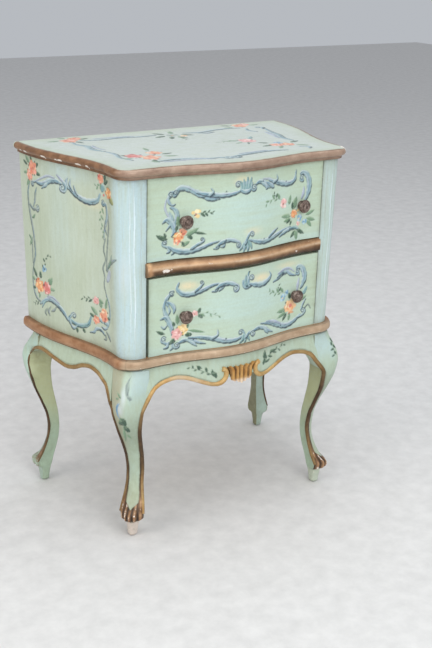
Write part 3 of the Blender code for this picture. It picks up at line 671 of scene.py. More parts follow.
class Paintwork:
    """Brushwork on one face of a piece: a colour and its cover at each point."""

    def __init__(self, u, v, shown):
        self.spots = np.column_stack((u, v))
        self.shown = shown
        self.colour = np.zeros((len(u), 3))
        self.cover = np.zeros(len(u))
        self.gain = SCROLL_GAIN
        self.volutes = []

    def curl(self, u, v, radius, start, turns, hand=1):
        """Points of a volute that winds in towards its eye, from the start angle in degrees."""
        self.volutes.append((u, v, radius))
        points = []
        for t in np.linspace(0, 1, max(int(10 * turns), 4)):
            angle = math.radians(start + hand * 360 * turns * t)
            reach = radius * (1 - 0.78 * t)
            points.append((u + reach * math.cos(angle), v + reach * math.sin(angle)))
        return points

    def near(self, low, high):
        inside = self.shown & np.all((self.spots >= low) & (self.spots <= high), axis=1)
        return np.nonzero(inside)[0]

    def lay(self, where, colour, strength):
        """Lays colour over what is there."""
        kept = self.cover[where] * (1 - strength)
        total = np.maximum(strength + kept, 1e-6)
        blend = np.asarray(colour) * strength[:, None] + self.colour[where] * kept[:, None]
        self.colour[where] = blend / total[:, None]
        self.cover[where] = strength + kept

    def wash(self, colour, strength):
        """Lays colour over the whole piece, by its strength at each point."""
        self.lay(np.arange(len(self.cover)), colour, strength)

    def scroll(self, tones, widths, points):
        """A leafy scroll: a dark line under a body lit from above, with shades and veins on wide ones."""
        dark, _, light = tones
        full = [self.gain * width + 0.4 for width in widths]
        below = np.asarray(points) + np.array((0.6, -1.5)) * self.gain
        self.line(dark, [width + 0.6 for width in full], below, 0.9, LOBE_DEPTH)
        self.stroke(tones, full, points, 0.95, LOBE_DEPTH)
        path = smooth_line(points)
        share = np.linspace(0, 1, len(path))
        half = 0.5 * np.interp(share, np.linspace(0, 1, len(full)), full)
        if half.max() < PLAIN_HALF:
            return
        ahead = np.gradient(path, axis=0)
        speed = np.maximum(np.linalg.norm(ahead, axis=1), 1e-6)
        across = np.column_stack((-ahead[:, 1], ahead[:, 0])) / speed[:, None]
        across = across * math.copysign(1, across.mean(axis=0) @ LIGHT_FROM)
        for reach, shade, width, start, end, strength in (
            (-0.1, DEEP, 3.4, 0.0, 0.42, 0.55), (0.0, DEEP, 3.0, 0.62, 1.0, 0.5),
            (0.3, LILAC, 2.4, 0.4, 0.95, 0.55), (-0.3, dark, 1.7, 0.2, 0.44, 0.9),
            (0.0, dark, 1.5, 0.58, 0.72, 0.85), (0.5, light, 1.2, 0.1, 0.9, 0.7),
        ):
            line = (path + across * (reach * half)[:, None])[int(start * len(path)):int(end * len(path)):6]
            if len(line) > 2:
                self.line(shade, (0.2, width, 0.2), line, strength)

    def eyes(self):
        """The open eyes of the volutes: a dark curl that winds in over a pale ground."""
        for u, v, radius in self.volutes:
            self.dab(u, v, 0.7 * radius, EYE, 0.7)
            turns = np.linspace(0.4, 8.4, 17)
            reach = radius * np.linspace(0.95, 0.22, 17)
            points = np.column_stack((u + reach * np.cos(turns), v + reach * np.sin(turns)))
            self.line(SLATE[0], (1.5, 1.7, 1.5), points, 0.9)

    def line(self, tone, *rest):
        """A brush stroke of one tone."""
        self.stroke((tone, tone, tone), *rest)

    def stroke(self, tones, widths, points, strength=1.0, lobes=0.0):
        """One brush stroke, light along its upper edge and dark along its lower one."""
        path = smooth_line(points)
        share = np.linspace(0, 1, len(path))
        half = 0.5 * np.interp(share, np.linspace(0, 1, len(widths)), widths)
        half = half * (1 + lobes * np.sin(np.arange(len(path)) * PATH_STEP * 2 * math.pi / LOBE_LENGTH))
        reach = half.max() + SOFT_EDGE
        where = self.near(path.min(axis=0) - reach, path.max(axis=0) + reach)
        if len(where) == 0:
            return
        gap = self.spots[where][:, None] - path[None]
        distance = np.hypot(gap[..., 0], gap[..., 1])
        nearest = np.argmin(distance - half[None], axis=1)
        row = np.arange(len(where))
        away = gap[row, nearest]
        lateral = np.clip(away @ LIGHT_FROM / np.maximum(half[nearest], 0.3), -1, 1)
        dark, body, light = tones
        to_light = smooth_step(0.0, 0.9, lateral)[:, None]
        to_dark = smooth_step(0.35, 0.9, -lateral)[:, None]
        colour = body + (light - body) * to_light + (dark - body) * to_dark
        cover = np.clip((half[nearest] - distance[row, nearest]) / SOFT_EDGE + 0.5, 0, 1)
        self.lay(where, colour, cover * strength)

    def dab(self, u, v, radius, colour, strength=1.0, petals=0, depth=0.0, phase=0.0):
        """A round dab of paint, its edge ruffled into petals."""
        reach = radius * (1 + depth) + SOFT_EDGE
        middle = np.array((u, v))
        where = self.near(middle - reach, middle + reach)
        if len(where) == 0:
            return
        away = self.spots[where] - middle
        angle = np.arctan2(away[:, 1], away[:, 0])
        edge = radius * (1 + depth * np.cos(petals * angle + phase))
        cover = np.clip((edge - np.hypot(away[:, 0], away[:, 1])) / SOFT_EDGE + 0.5, 0, 1)
        self.lay(where, colour, cover * strength)

    def glow(self, u, v, width, height, colour, strength):
        """A soft tinted haze."""
        middle = np.array((u, v))
        size = np.array((width, height))
        where = self.near(middle - size, middle + size)
        away = (self.spots[where] - middle) / size
        cover = strength * smooth_step(0, 1, 1 - np.hypot(away[:, 0], away[:, 1]))
        self.lay(where, colour, cover)

    def leaf(self, tones, u, v, angle, length, width, bend=0.0):
        """A pointed leaf from its stalk at (u, v), with a light and a dark half."""
        turn = math.radians(angle)
        ahead = np.array((math.cos(turn), math.sin(turn)))
        aside = np.array((-ahead[1], ahead[0]))
        start = np.array((u, v))
        reach, spread = LEAF_LENGTH * length, LEAF_WIDTH * width
        points = [start + reach * (t * ahead + bend * t * t * aside) for t in (0.0, 0.35, 0.7, 1.0)]
        self.stroke(tones, (0.4, spread, 0.8 * spread, 0.2), points)

    def sprig(self, tones, points, count, length, width):
        """A thin stem with leaves on alternate sides, smaller towards its tip."""
        path = smooth_line(points)
        self.stroke(tones, (0.9, 0.6), points, 0.9)
        for k in range(count):
            share = (k + 0.6) / count
            here = min(int(share * (len(path) - 1)), len(path) - 2)
            ahead = path[here + 1] - path[here]
            angle = math.degrees(math.atan2(ahead[1], ahead[0]))
            angle += (42 if k % 2 else -42) + 16 * math.sin(5 * k)
            size = (1 - 0.45 * share) * (1 + 0.25 * math.sin(3 * k + 1))
            self.leaf(tones, *path[here], angle, length * size, width * size)

    def rose(self, u, v, size, outer, inner, phase=0.0):
        """A loose rose: a ruffled patch under short strokes, dark touches at its rim."""
        chance = np.random.default_rng(int(abs(17 * u + 31 * v) + 100 * size))
        self.dab(u, v, 0.86 * size, outer[1], 0.92, 5, 0.18, phase)
        for k in range(15):
            reach = size * math.sqrt(chance.uniform(0, 0.85))
            turn = chance.uniform(0, 2 * math.pi)
            here = np.array((u + reach * math.cos(turn), v + reach * math.sin(turn)))
            lean = turn + chance.uniform(0.8, 2.2)
            step = size * chance.uniform(0.22, 0.4) * np.array((math.cos(lean), math.sin(lean)))
            shade = (outer[2], inner[1], outer[0], inner[2], outer[1])[k % 5]
            width = 0.34 * size * chance.uniform(0.7, 1.2)
            self.line(shade, (0.5, width, 0.5), (here - step, here + step), 0.8)
        for k in range(3):
            turn = phase + 2.1 * k
            self.dab(u + size * math.cos(turn), v + size * math.sin(turn), 0.14 * size, MOSS[0], 0.75)

    def blossom(self, u, v, size, tones, heart, petals=5, phase=0.0):
        """A small open flower of uneven petals with a dark heart."""
        chance = np.random.default_rng(int(abs(13 * u + 29 * v) + 100 * size))
        for k in range(petals):
            turn = phase + k * 2 * math.pi / petals + chance.uniform(-0.35, 0.35)
            reach = size * chance.uniform(0.4, 0.7)
            here = (u + reach * math.cos(turn), v + reach * math.sin(turn))
            self.dab(*here, size * chance.uniform(0.3, 0.46), tones[1 + k % 2], 0.85)
        self.dab(u - 0.1 * size, v - 0.12 * size, 0.2 * size, heart, 0.9)

    def finish(self, piece):
        """Hands the brushwork to the piece's material."""
        store(piece, "art", np.column_stack((self.colour, self.cover)))


def upper_drawer_ornament(work):
    """Scrolls round the upper drawer, a posy by each knob."""
    curl = work.curl
    each(work.glow, [
        (-6, 128, 26, 14, GLOW, 0.6), (-118, 24, 26, 12, GLOW, 0.35), (20, 36, 30, 12, GLOW, 0.4),
    ])
    each(work.scroll, [
        (MIST, (1, 3, 2, 1), [(-147, 106), (-149, 92), (-144, 80), (-137, 70), (-131, 57)]),
        (SLATE, (1, 6, 8, 7, 1), [(-104, 120), (-92, 116), (-80, 109), (-66, 102), (-50, 101)]),
        (SLATE, (2.4, 5, 8, 8, 6, 1), [*curl(-129, 116, 4.5, 250, 1.0, -1)[::-1], (-124, 122), (-112, 123),
                                       (-98, 117), (-86, 108), (-78, 106)]),
        (SLATE, (1, 6, 7, 7, 5, 2), [(-92, 114), (-72, 110), (-50, 107), (-32, 107), (-16, 110), (-8, 115)]),
        (SLATE, (4, 3, 1), [(-68, 108), (-62, 114), (-66, 120)]),
        (SLATE, (5, 4, 3, 2.2, 1.6), [(-6, 112), (-9, 120), *curl(-16, 123, 6.0, 10, 1.15, 1)]),
        (TEAL, (5, 6.5, 2), [(-8, 112), (-8, 121), (-11, 128)]),
        (TEAL, (5, 7, 2), [(-3, 110), (-3, 121), (-5, 131)]),
        (TEAL, (5, 7, 2), [(2, 110), (3, 122), (3, 134)]),
        (TEAL, (5, 7, 2), [(6, 111), (8, 122), (11, 133)]),
        (SLATE, (1, 5, 6, 5, 1), [(-11, 114), (-5, 110), (1, 109), (7, 110), (12, 115)]),
        (SLATE, (2, 3, 3, 2, 1.4), [(13, 124), (12, 117), *curl(18, 115, 5.8, 190, 1.15, 1)]),
        (SLATE, (2, 6, 7, 5, 1), [(20, 119), (29, 124), (40, 121), (50, 113), (60, 110)]),
        (SLATE, (1, 5, 4, 1), [(34, 121), (43, 116), (48, 110), (45, 109)]),
        (SLATE, (1, 6, 5, 1), [(46, 121), (56, 116), (64, 110), (60, 109)]),
        (MIST, (1, 3, 2), [(38, 128), (52, 126), (66, 121)]),
        (SLATE, (2, 6, 8, 8, 6, 1), [(52, 124), (70, 118), (88, 113), (104, 111), (117, 116), (120, 133)]),
        (SLATE, (4, 3.4, 1), [(64, 118), (73, 123), (71, 131)]),
        (SLATE, (2, 3, 5, 8, 9, 8, 4), [*curl(135, 117, 5.5, 300, 1.0, -1)[::-1], (133, 125), (143, 125),
                                        (151, 114), (153, 98), (150, 84), (146, 76)]),
        (MIST, (1, 5, 3), [(141, 100), (140, 88), (137, 80)]),
        (SLATE, (1.6, 3, 5, 4, 1), [*curl(-138, 113, 4.8, 60, 1.0, 1)[::-1], (-143, 108), (-141, 100),
                                    (-135, 95), (-130, 97)]),
        (SLATE, (1, 6, 7, 5, 1), [(-140, 92), (-131, 88), (-126, 78), (-129, 66), (-134, 58)]),
        (SLATE, (1, 5, 6, 2), [(-141, 84), (-137, 76), (-136, 68), (-139, 62)]),
        (SLATE, (1, 7, 9, 7, 2), [(-154, 66), (-145, 71), (-136, 64), (-131, 52), (-136, 42)]),
        (SLATE, (3, 1), [(-140, 60), (-147, 52)]),
        (SLATE, (3, 3, 2, 1.4), [(-140, 22), (-147, 24), *curl(-149, 31, 5.2, 250, 1.1, -1)]),
        (SLATE, (1, 5, 1), [(-144, 24), (-140, 16), (-145, 13)]),
        (SLATE, (1, 5, 1), [(-138, 23), (-132, 14), (-136, 9)]),
        (SLATE, (2, 8, 8, 6, 4, 1), [(-142, 24), (-126, 15), (-106, 12), (-86, 15), (-66, 22), (-46, 27)]),
        (SLATE, (4, 4, 2, 1.4), [(-98, 17), (-88, 23), (-79, 27), *curl(-80, 31, 3.4, 330, 0.9, 1)]),
        (SLATE, (1, 4, 1), [(-48, 20), (-52, 14), (-59, 13)]),
        (SLATE, (1, 4, 1), [(-38, 22), (-41, 16), (-46, 15)]),
        (SLATE, (1, 6, 6, 5, 3, 1.6), [(-55, 16), (-42, 24), (-26, 26), (-12, 21),
                                       *curl(-12, 15, 4.6, 60, 1.0, -1)]),
        (TEAL, (3, 5, 1), [(3, 20), (-3, 12), (-9, 5)]),
        (TEAL, (4, 6, 1), [(5, 20), (2, 10), (-1, 1)]),
        (TEAL, (4, 6, 1), [(8, 20), (9, 10), (8, 1)]),
        (TEAL, (4, 5, 1), [(10, 20), (15, 12), (17, 6)]),
        (SLATE, (4, 4, 3, 2, 1.4), [(3, 16), (6, 24), (11, 33), *curl(17, 31, 5.4, 170, 1.1, -1)]),
        (SLATE, (2, 7, 8, 7, 4, 1), [(12, 22), (30, 16), (48, 14), (68, 18), (90, 25), (112, 30)]),
        (SLATE, (3, 5, 1), [(58, 20), (68, 27), (79, 33)]),
        (SLATE, (1, 5, 5, 1), [(84, 15), (96, 21), (110, 25), (122, 24)]),
        (TEAL, (1, 4, 4, 1), [(110, 26), (122, 27), (132, 22), (138, 14)]),
    ])
    work.eyes()
    for u, v in ((-38, 112), (-60, 109), (38, 123), (96, 115), (46, 18), (-100, 14), (-36, 26)):
        work.dab(u, v, 1.5, SLATE[0], 0.8)
    work.sprig(MOSS, [(-86, 78), (-74, 78), (-60, 77)], 6, 9, 3.6)
    each(work.leaf, [
        (SAGE, -122, 57, 100, 17, 7), (MOSS, -128, 50, 70, 9, 5), (SAGE, -110, 40, 20, 24, 7, 0.12),
        (MOSS, -96, 44, 355, 22, 4, -0.1), (MOSS, -106, 40, 320, 10, 6), (SAGE, -118, 22, 25, 16, 7),
        (MOSS, -116, 30, 290, 9, 4), (MOSS, -143, 36, 170, 22, 7, -0.25), (MOSS, -146, 40, 120, 8, 4),
    ])
    work.blossom(-91, 77, 9, YELLOW, CORAL[0], 5, 0.5)
    work.dab(-94, 74, 1.6, MOSS[0])
    work.rose(-115, 47, 8, CORAL, CORAL, 0.3)
    work.rose(-123, 38, 10, ORANGE, YELLOW, 1.0)
    work.blossom(-127, 29, 6, CORAL, ROSE[0], 5, 0.2)
    work.dab(-121, 31, 2, ROSE[1])
    work.sprig(SAGE, [(86, 83), (74, 86), (58, 86), (46, 79)], 6, 11, 4.4)
    work.sprig(MOSS, [(74, 86), (70, 92), (65, 97)], 3, 7, 3)
    each(work.leaf, [
        (SAGE, 106, 70, 80, 17, 6), (SAGE, 118, 60, 75, 22, 9), (MOSS, 116, 60, 95, 14, 5),
        (SAGE, 112, 48, 165, 22, 7, 0.15), (SAGE, 112, 44, 190, 16, 6), (MOSS, 112, 44, 215, 12, 5),
        (MOSS, 114, 40, 250, 9, 4), (SAGE, 148, 46, 20, 20, 6), (SAGE, 150, 40, 345, 20, 6),
        (SAGE, 152, 36, 310, 16, 6), (MOSS, 126, 20, 225, 16, 6), (SAGE, 126, 20, 280, 17, 7),
        (MOSS, 128, 22, 330, 20, 6),
    ])
    work.blossom(92, 75, 10, PINK, ROSE[0], 6, 0.4)
    work.rose(120, 52, 8, ORANGE, CORAL, 0.8)
    work.dab(130, 57, 2.6, YELLOW[1])
    each(work.blossom, [
        (134, 42, 8, BLUE, YELLOW[1], 5, 0.2), (146, 34, 6, BLUE, BLUE[0], 5, 0.7),
        (131, 32, 5, PINK, CORAL[0], 5, 0.1),
    ])


def lower_drawer_ornament(work):
    """Scrolls round the lower drawer, a fuller rose by each knob."""
    curl = work.curl
    each(work.glow, [
        (-104, 120, 30, 13, GLOW, 0.8), (44, 117, 34, 13, GLOW, 0.8), (110, 128, 46, 10, GLOW, 0.45),
        (-100, 30, 40, 12, MIST[2], 0.3),
    ])
    each(work.scroll, [
        (SLATE, (2, 6, 8, 7, 6, 4, 1), [(-121, 128), (-124, 117), (-114, 107), (-98, 105), (-78, 110),
                                        (-58, 118), (-40, 120)]),
        (SLATE, (3, 4, 2, 1.2), [(-90, 110), (-82, 116), *curl(-79, 124, 3.6, 270, 0.9, 1)]),
        (SLATE, (1, 4, 1), [(-47, 113), (-52, 107), (-60, 106)]),
        (SLATE, (1, 4, 1), [(-36, 115), (-42, 110), (-47, 106)]),
        (SLATE, (1, 6, 7, 6, 4, 2, 1.4), [(-54, 109), (-42, 117), (-26, 118), (-13, 113),
                                          *curl(-14, 106, 6, 40, 1.15, -1)]),
        (SLATE, (3, 7, 7, 3), [(1, 119), (4, 110), (11, 106), (20, 108)]),
        (TEAL, (2, 4, 1), [(9, 108), (6, 118), (7, 128)]),
        (TEAL, (2, 4, 1), [(12, 108), (11, 122), (13, 134)]),
        (SLATE, (4, 4, 3, 2, 1.4), [(16, 107), (13, 116), *curl(20, 121, 6.4, 190, 1.1, -1)]),
        (SLATE, (2, 7, 8, 8, 5, 1), [(16, 111), (30, 107), (46, 105), (60, 110), (67, 118), (63, 126)]),
        (SLATE, (1, 4, 5, 1), [(74, 103), (86, 107), (98, 113), (106, 112)]),
        (SLATE, (1, 5, 6, 5, 1), [(84, 109), (97, 116), (110, 116), (120, 109), (132, 105)]),
        (MIST, (1, 3, 3, 1), [(86, 116), (102, 122), (117, 121), (128, 113)]),
        (SLATE, (1.6, 3, 6, 8, 9, 8, 3), [*curl(137, 111, 5, 300, 1.0, -1)[::-1], (136, 119), (145, 119),
                                          (152, 109), (154, 96), (150, 84), (146, 78)]),
        (MIST, (1, 5, 3), [(141, 98), (139, 86), (138, 76)]),
        (SLATE, (1.6, 2.6, 4, 6, 3), [*curl(-134, 109, 5, 60, 1.1, 1)[::-1], (-140, 106), (-145, 98),
                                      (-141, 88)]),
        (SLATE, (2, 5, 6, 4, 1), [(-146, 100), (-149, 88), (-146, 74), (-138, 60), (-133, 44)]),
        (SLATE, (1, 5, 6, 1), [(-143, 96), (-134, 90), (-129, 82), (-130, 73)]),
        (SLATE, (1, 4, 1), [(-140, 86), (-138, 78), (-140, 72)]),
        (SLATE, (1, 6, 8, 6, 1), [(-156, 65), (-146, 67), (-139, 58), (-134, 46), (-134, 34)]),
        (SLATE, (1, 4, 1), [(-143, 52), (-148, 48), (-154, 52)]),
        (SLATE, (4, 4, 3, 2, 1.4), [(-134, 20), (-143, 18), *curl(-149, 27, 6, 280, 1.1, -1)]),
        (SLATE, (1, 5, 1), [(-140, 20), (-142, 12), (-149, 10)]),
        (SLATE, (1, 5, 1), [(-134, 18), (-131, 10), (-136, 5)]),
        (SLATE, (2, 4, 3, 2, 1.4), [(-132, 22), (-130, 12), *curl(-123, 12, 5.4, 200, 1.1, 1)]),
        (SLATE, (2, 6, 6, 4, 1), [(-124, 14), (-110, 20), (-96, 19), (-82, 13), (-70, 10)]),
        (SLATE, (1, 5, 1), [(-102, 18), (-92, 12), (-86, 7)]),
        (SLATE, (1, 5, 7, 8, 7, 3), [(-102, 24), (-78, 22), (-54, 17), (-32, 10), (-10, 9), (6, 14)]),
        (SLATE, (4, 3, 1), [(-56, 18), (-47, 23), (-47, 33)]),
        (SLATE, (3, 3, 2, 1.4), [(8, 12), (7, 20), *curl(0, 21, 5.6, 0, 1.15, 1)]),
        (TEAL, (3, 5, 1), [(6, 14), (4, 6), (-2, 1)]),
        (TEAL, (3, 5, 1), [(10, 14), (11, 6), (9, 0)]),
        (TEAL, (3, 5, 1), [(13, 14), (18, 7), (20, 3)]),
        (SLATE, (4, 4, 3, 2, 1.4), [(12, 10), (19, 18), *curl(27, 13, 6.2, 150, 1.15, -1)]),
        (SLATE, (3, 6, 6, 5, 1), [(26, 18), (42, 22), (57, 18), (67, 11), (78, 6)]),
        (SLATE, (1, 5, 1), [(54, 18), (62, 10), (66, 6)]),
        (SLATE, (1, 5, 8, 9, 7, 4), [(46, 29), (68, 25), (90, 17), (112, 10), (130, 13), (148, 24)]),
        (MIST, (1, 4, 2), [(60, 30), (80, 26), (98, 18)]),
        (SLATE, (3, 3, 2, 1.4), [(142, 20), (152, 22), *curl(155, 31, 5.8, 290, 1.1, 1)]),
        (SLATE, (2, 4, 1), [(150, 34), (154, 46), (160, 54)]),
        (VINE, (1, 1.6, 1), [(158, 36), (166, 42), (172, 34)]),
    ])
    work.eyes()
    for u, v in ((15, 133), (-30, 13), (-90, 106), (10, 107), (-92, 19), (100, 12)):
        work.dab(u, v, 1.7, SLATE[0], 0.85)
    work.sprig(SAGE, [(-84, 66), (-66, 66), (-42, 57)], 5, 8, 3)
    each(work.leaf, [
        (MOSS, -84, 67, 70, 10, 5), (MOSS, -84, 65, 320, 10, 5), (SAGE, -122, 50, 95, 18, 6),
        (MOSS, -128, 48, 110, 9, 5), (SAGE, -106, 42, 60, 9, 5), (SAGE, -104, 38, 350, 32, 5, -0.05),
        (MOSS, -108, 30, 355, 12, 7), (MOSS, -126, 24, 215, 12, 7), (MOSS, -146, 36, 165, 18, 5, -0.2),
    ])
    work.rose(-113, 40, 11, YELLOW, PEACH, 0.6)
    work.rose(-124, 33, 11, PINK, PINK, 0.1)
    work.dab(-119, 36, 3.2, CORAL[0], 0.6)
    work.blossom(-90, 67, 7, PINK, ROSE[1], 5, 0.6)
    work.sprig(SAGE, [(106, 76), (92, 78), (80, 80), (64, 86)], 7, 11, 4.2)
    work.sprig(MOSS, [(92, 78), (90, 86), (90, 94)], 3, 7, 3)
    each(work.leaf, [
        (SAGE, 114, 40, 175, 24, 7, 0.1), (SAGE, 112, 36, 200, 22, 6), (MOSS, 114, 34, 235, 16, 6),
        (SAGE, 122, 30, 260, 12, 5), (MOSS, 122, 60, 110, 12, 6), (TEAL, 152, 62, 60, 18, 7),
        (SAGE, 148, 52, 30, 14, 5),
    ])
    work.blossom(103, 66, 9, BLUE, YELLOW[1], 5, 0.2)
    work.blossom(112, 74, 6, BLUE, BLUE[0], 5, 0.7)
    work.rose(123, 45, 15, PEACH, ORANGE, 0.4)
    work.dab(123, 46, 4, ROSE[1], 0.85)
    work.dab(126, 56, 3, YELLOW[1], 0.8)


def side_ornament(work):
    """The side's tall frame: scrolls above and below, vines up its edges, a rose at each corner."""
    curl = work.curl
    work.glow(-30, 258, 60, 14, GLOW, 0.3)
    work.glow(-110, 150, 24, 60, MIST[2], 0.35)
    each(work.scroll, [
        (VINE, (2, 3, 3, 2.4, 2), [(-69, 250), (-70, 230), (-66, 205), (-62, 180), (-60, 150)]),
        (VINE, (2, 3, 2, 3, 2, 2, 1), [(-58, 205), (-52, 186), (-57, 168), (-50, 152), (-55, 136),
                                       (-54, 120), (-61, 103)]),
        (SLATE, (2, 3, 3, 3, 1), [(-61, 103), (-70, 88), (-73, 68), (-68, 48), (-58, 40)]),
        (SLATE, (1.4, 2.4, 5, 5, 4, 2, 1), [*curl(-54, 267, 5, 200, 1.0, 1)[::-1], (-63, 266), (-66, 250),
                                            (-62, 234), (-56, 220), (-54, 204)]),
        (VINE, (1, 4, 1), [(-61, 240), (-58, 226), (-63, 214)]),
        (VINE, (2, 6, 5, 1), [(-62, 148), (-68, 160), (-79, 170), (-94, 177)]),
        (SAGE, (2, 4, 1), [(-66, 156), (-74, 170), (-77, 180)]),
        (MIST, (6, 9, 6), [(-70, 148), (-68, 140), (-64, 132)]),
        (VINE, (2, 4, 5, 5, 4, 3), [(138, 272), (147, 252), (147, 230), (142, 205), (135, 178), (131, 150)]),
        (VINE, (3, 4, 4, 3, 3, 4, 1), [(131, 160), (130, 135), (137, 112), (141, 88), (137, 64),
                                       (126, 50), (112, 46)]),
        (VINE, (2, 3, 2), [(140, 165), (140, 140), (139, 118)]),
        (VINE, (1, 5, 4, 1), [(116, 264), (121, 252), (124, 238), (130, 226)]),
        (VINE, (3, 4, 3, 1.6), [(142, 228), (132, 222), *curl(116, 226, 6, 330, 1.0, -1)]),
        (SAGE, (1, 4, 1), [(126, 212), (131, 207), (136, 205)]),
        (SAGE, (1, 4, 1), [(141, 156), (145, 164), (152, 168)]),
        (SAGE, (1, 4, 1), [(141, 152), (146, 156), (149, 150)]),
        (SLATE, (3, 8, 9, 8, 7, 2), [(-46, 280), (-39, 269), (-24, 263), (-6, 262), (14, 268), (34, 280)]),
        (SLATE, (1, 3, 1), [(10, 268), (16, 276), (19, 284)]),
        (SLATE, (1, 4, 1), [(22, 274), (28, 284), (26, 294)]),
        (SLATE, (2, 5, 1), [(32, 276), (36, 288), (32, 296)]),
        (MIST, (2, 4, 1), [(38, 284), (48, 290), (58, 297)]),
        (SLATE, (5, 5, 3, 2), [(42, 284), (38, 278), *curl(46, 275, 7, 190, 1.1, 1)]),
        (SLATE, (2, 7, 8, 7, 5, 1), [(46, 281), (60, 285), (76, 283), (92, 276), (106, 273), (122, 275)]),
        (SLATE, (1, 5, 1), [(78, 280), (90, 272), (100, 266)]),
        (MIST, (1, 3, 2, 1), [(64, 290), (82, 291), (102, 283), (120, 275)]),
        (SLATE, (1.4, 3, 2), [*curl(128, 268, 5, 120, 1.0, -1)[::-1], (118, 275)]),
        (TEAL, (2, 6, 7, 6, 5), [(-20, 52), (-14, 36), (-2, 29), (14, 27), (34, 33)]),
        (SLATE, (4, 4, 3, 2, 1.4), [(30, 26), (34, 34), (28, 42), *curl(22, 42, 6, 0, 1.1, 1)]),
        (SLATE, (3, 7, 7, 7, 6, 3), [(36, 30), (48, 43), (66, 54), (84, 58), (100, 52), (114, 42)]),
        (MIST, (1, 3, 1), [(58, 56), (76, 64), (92, 62)]),
        (SLATE, (1, 5, 1), [(14, 24), (22, 18), (30, 24)]),
        (TEAL, (1, 4, 1), [(96, 52), (104, 44), (108, 36)]),
        (VINE, (1, 4, 1), [(66, 48), (72, 40), (80, 36)]),
        (VINE, (1, 5, 1), [(82, 44), (88, 34), (84, 26)]),
        (VINE, (1, 4, 1), [(92, 38), (98, 30), (94, 24)]),
        (SLATE, (1, 4, 5, 4, 1), [(-58, 26), (-46, 33), (-34, 32), (-28, 24), (-18, 21)]),
        (VINE, (1, 5, 1), [(-62, 34), (-70, 28), (-76, 20)]),
        (VINE, (1, 4, 1), [(-60, 28), (-62, 20), (-56, 18)]),
        (SLATE, (1, 4, 1), [(-66, 42), (-56, 38), (-48, 40)]),
    ])
    work.eyes()
    each(work.sprig, [
        (SAGE, [(-52, 262), (-46, 244), (-48, 224), (-52, 206)], 8, 10, 4),
        (MOSS, [(-24, 84), (-12, 84), (4, 80)], 5, 9, 3.4),
        (MOSS, [(102, 108), (100, 122), (96, 136), (82, 143)], 6, 8, 4),
        (SAGE, [(-52, 300), (-42, 294), (-32, 292)], 4, 9, 4),
        (MOSS, [(118, 44), (130, 40), (140, 34)], 4, 8, 3),
    ])
    each(work.leaf, [
        (MOSS, -58, 300, 150, 14, 7), (MOSS, -60, 306, 110, 10, 6), (SAGE, -66, 296, 200, 12, 6),
        (OLIVE, -74, 280, 215, 16, 9), (MOSS, -62, 286, 190, 10, 5), (TEAL, -58, 298, 300, 14, 9),
        (MOSS, 116, 290, 190, 12, 6), (MOSS, 118, 300, 140, 12, 6), (SAGE, 136, 304, 40, 18, 7),
        (MOSS, 144, 300, 20, 16, 5), (SAGE, 146, 286, 350, 14, 5), (SAGE, 138, 276, 310, 18, 6),
        (MOSS, 128, 308, 60, 10, 5), (SAGE, -46, 74, 75, 16, 7), (SAGE, -58, 74, 100, 22, 6),
        (SAGE, -52, 84, 20, 14, 5), (SAGE, -36, 58, 35, 20, 7), (MOSS, -28, 52, 20, 12, 5),
        (MOSS, -64, 60, 180, 9, 5), (SLATE, -50, 52, 190, 18, 9), (SLATE, -54, 48, 20, 16, 7),
        (SAGE, 86, 84, 115, 18, 7), (SAGE, 90, 90, 140, 14, 6), (SAGE, 84, 78, 180, 12, 5),
        (MOSS, 112, 92, 80, 12, 7), (MOSS, 124, 90, 50, 22, 7), (SAGE, 132, 84, 20, 12, 6),
        (MOSS, 130, 70, 340, 10, 5), (SAGE, 116, 62, 280, 10, 5), (MOSS, 0, 22, 230, 8, 5),
        (MOSS, 14, 20, 265, 9, 5),
    ])
    work.rose(-49, 307, 9, CORAL, ROSE, 0.5)
    work.rose(-72, 286, 10, ORANGE, YELLOW, 0.2)
    work.dab(-57, 280, 2.4, ROSE[1])
    each(work.rose, [
        (126, 298, 14, CORAL, ROSE, 0.1), (138, 283, 11, CORAL, PINK, 0.9),
        (-54, 62, 13, CORAL, PEACH, 0.4), (-33, 48, 9, CORAL, ROSE, 1.1),
    ])
    work.dab(-58, 56, 3, ROSE[0], 0.8)
    each(work.rose, [
        (-31, 85, 8, PINK, ROSE, 0.2), (94, 77, 13, ROSE, PINK, 0.2), (117, 76, 15, ORANGE, PEACH, 0.7),
    ])
    work.blossom(101, 113, 8, BLUE, MOSS[0], 5, 0.3)


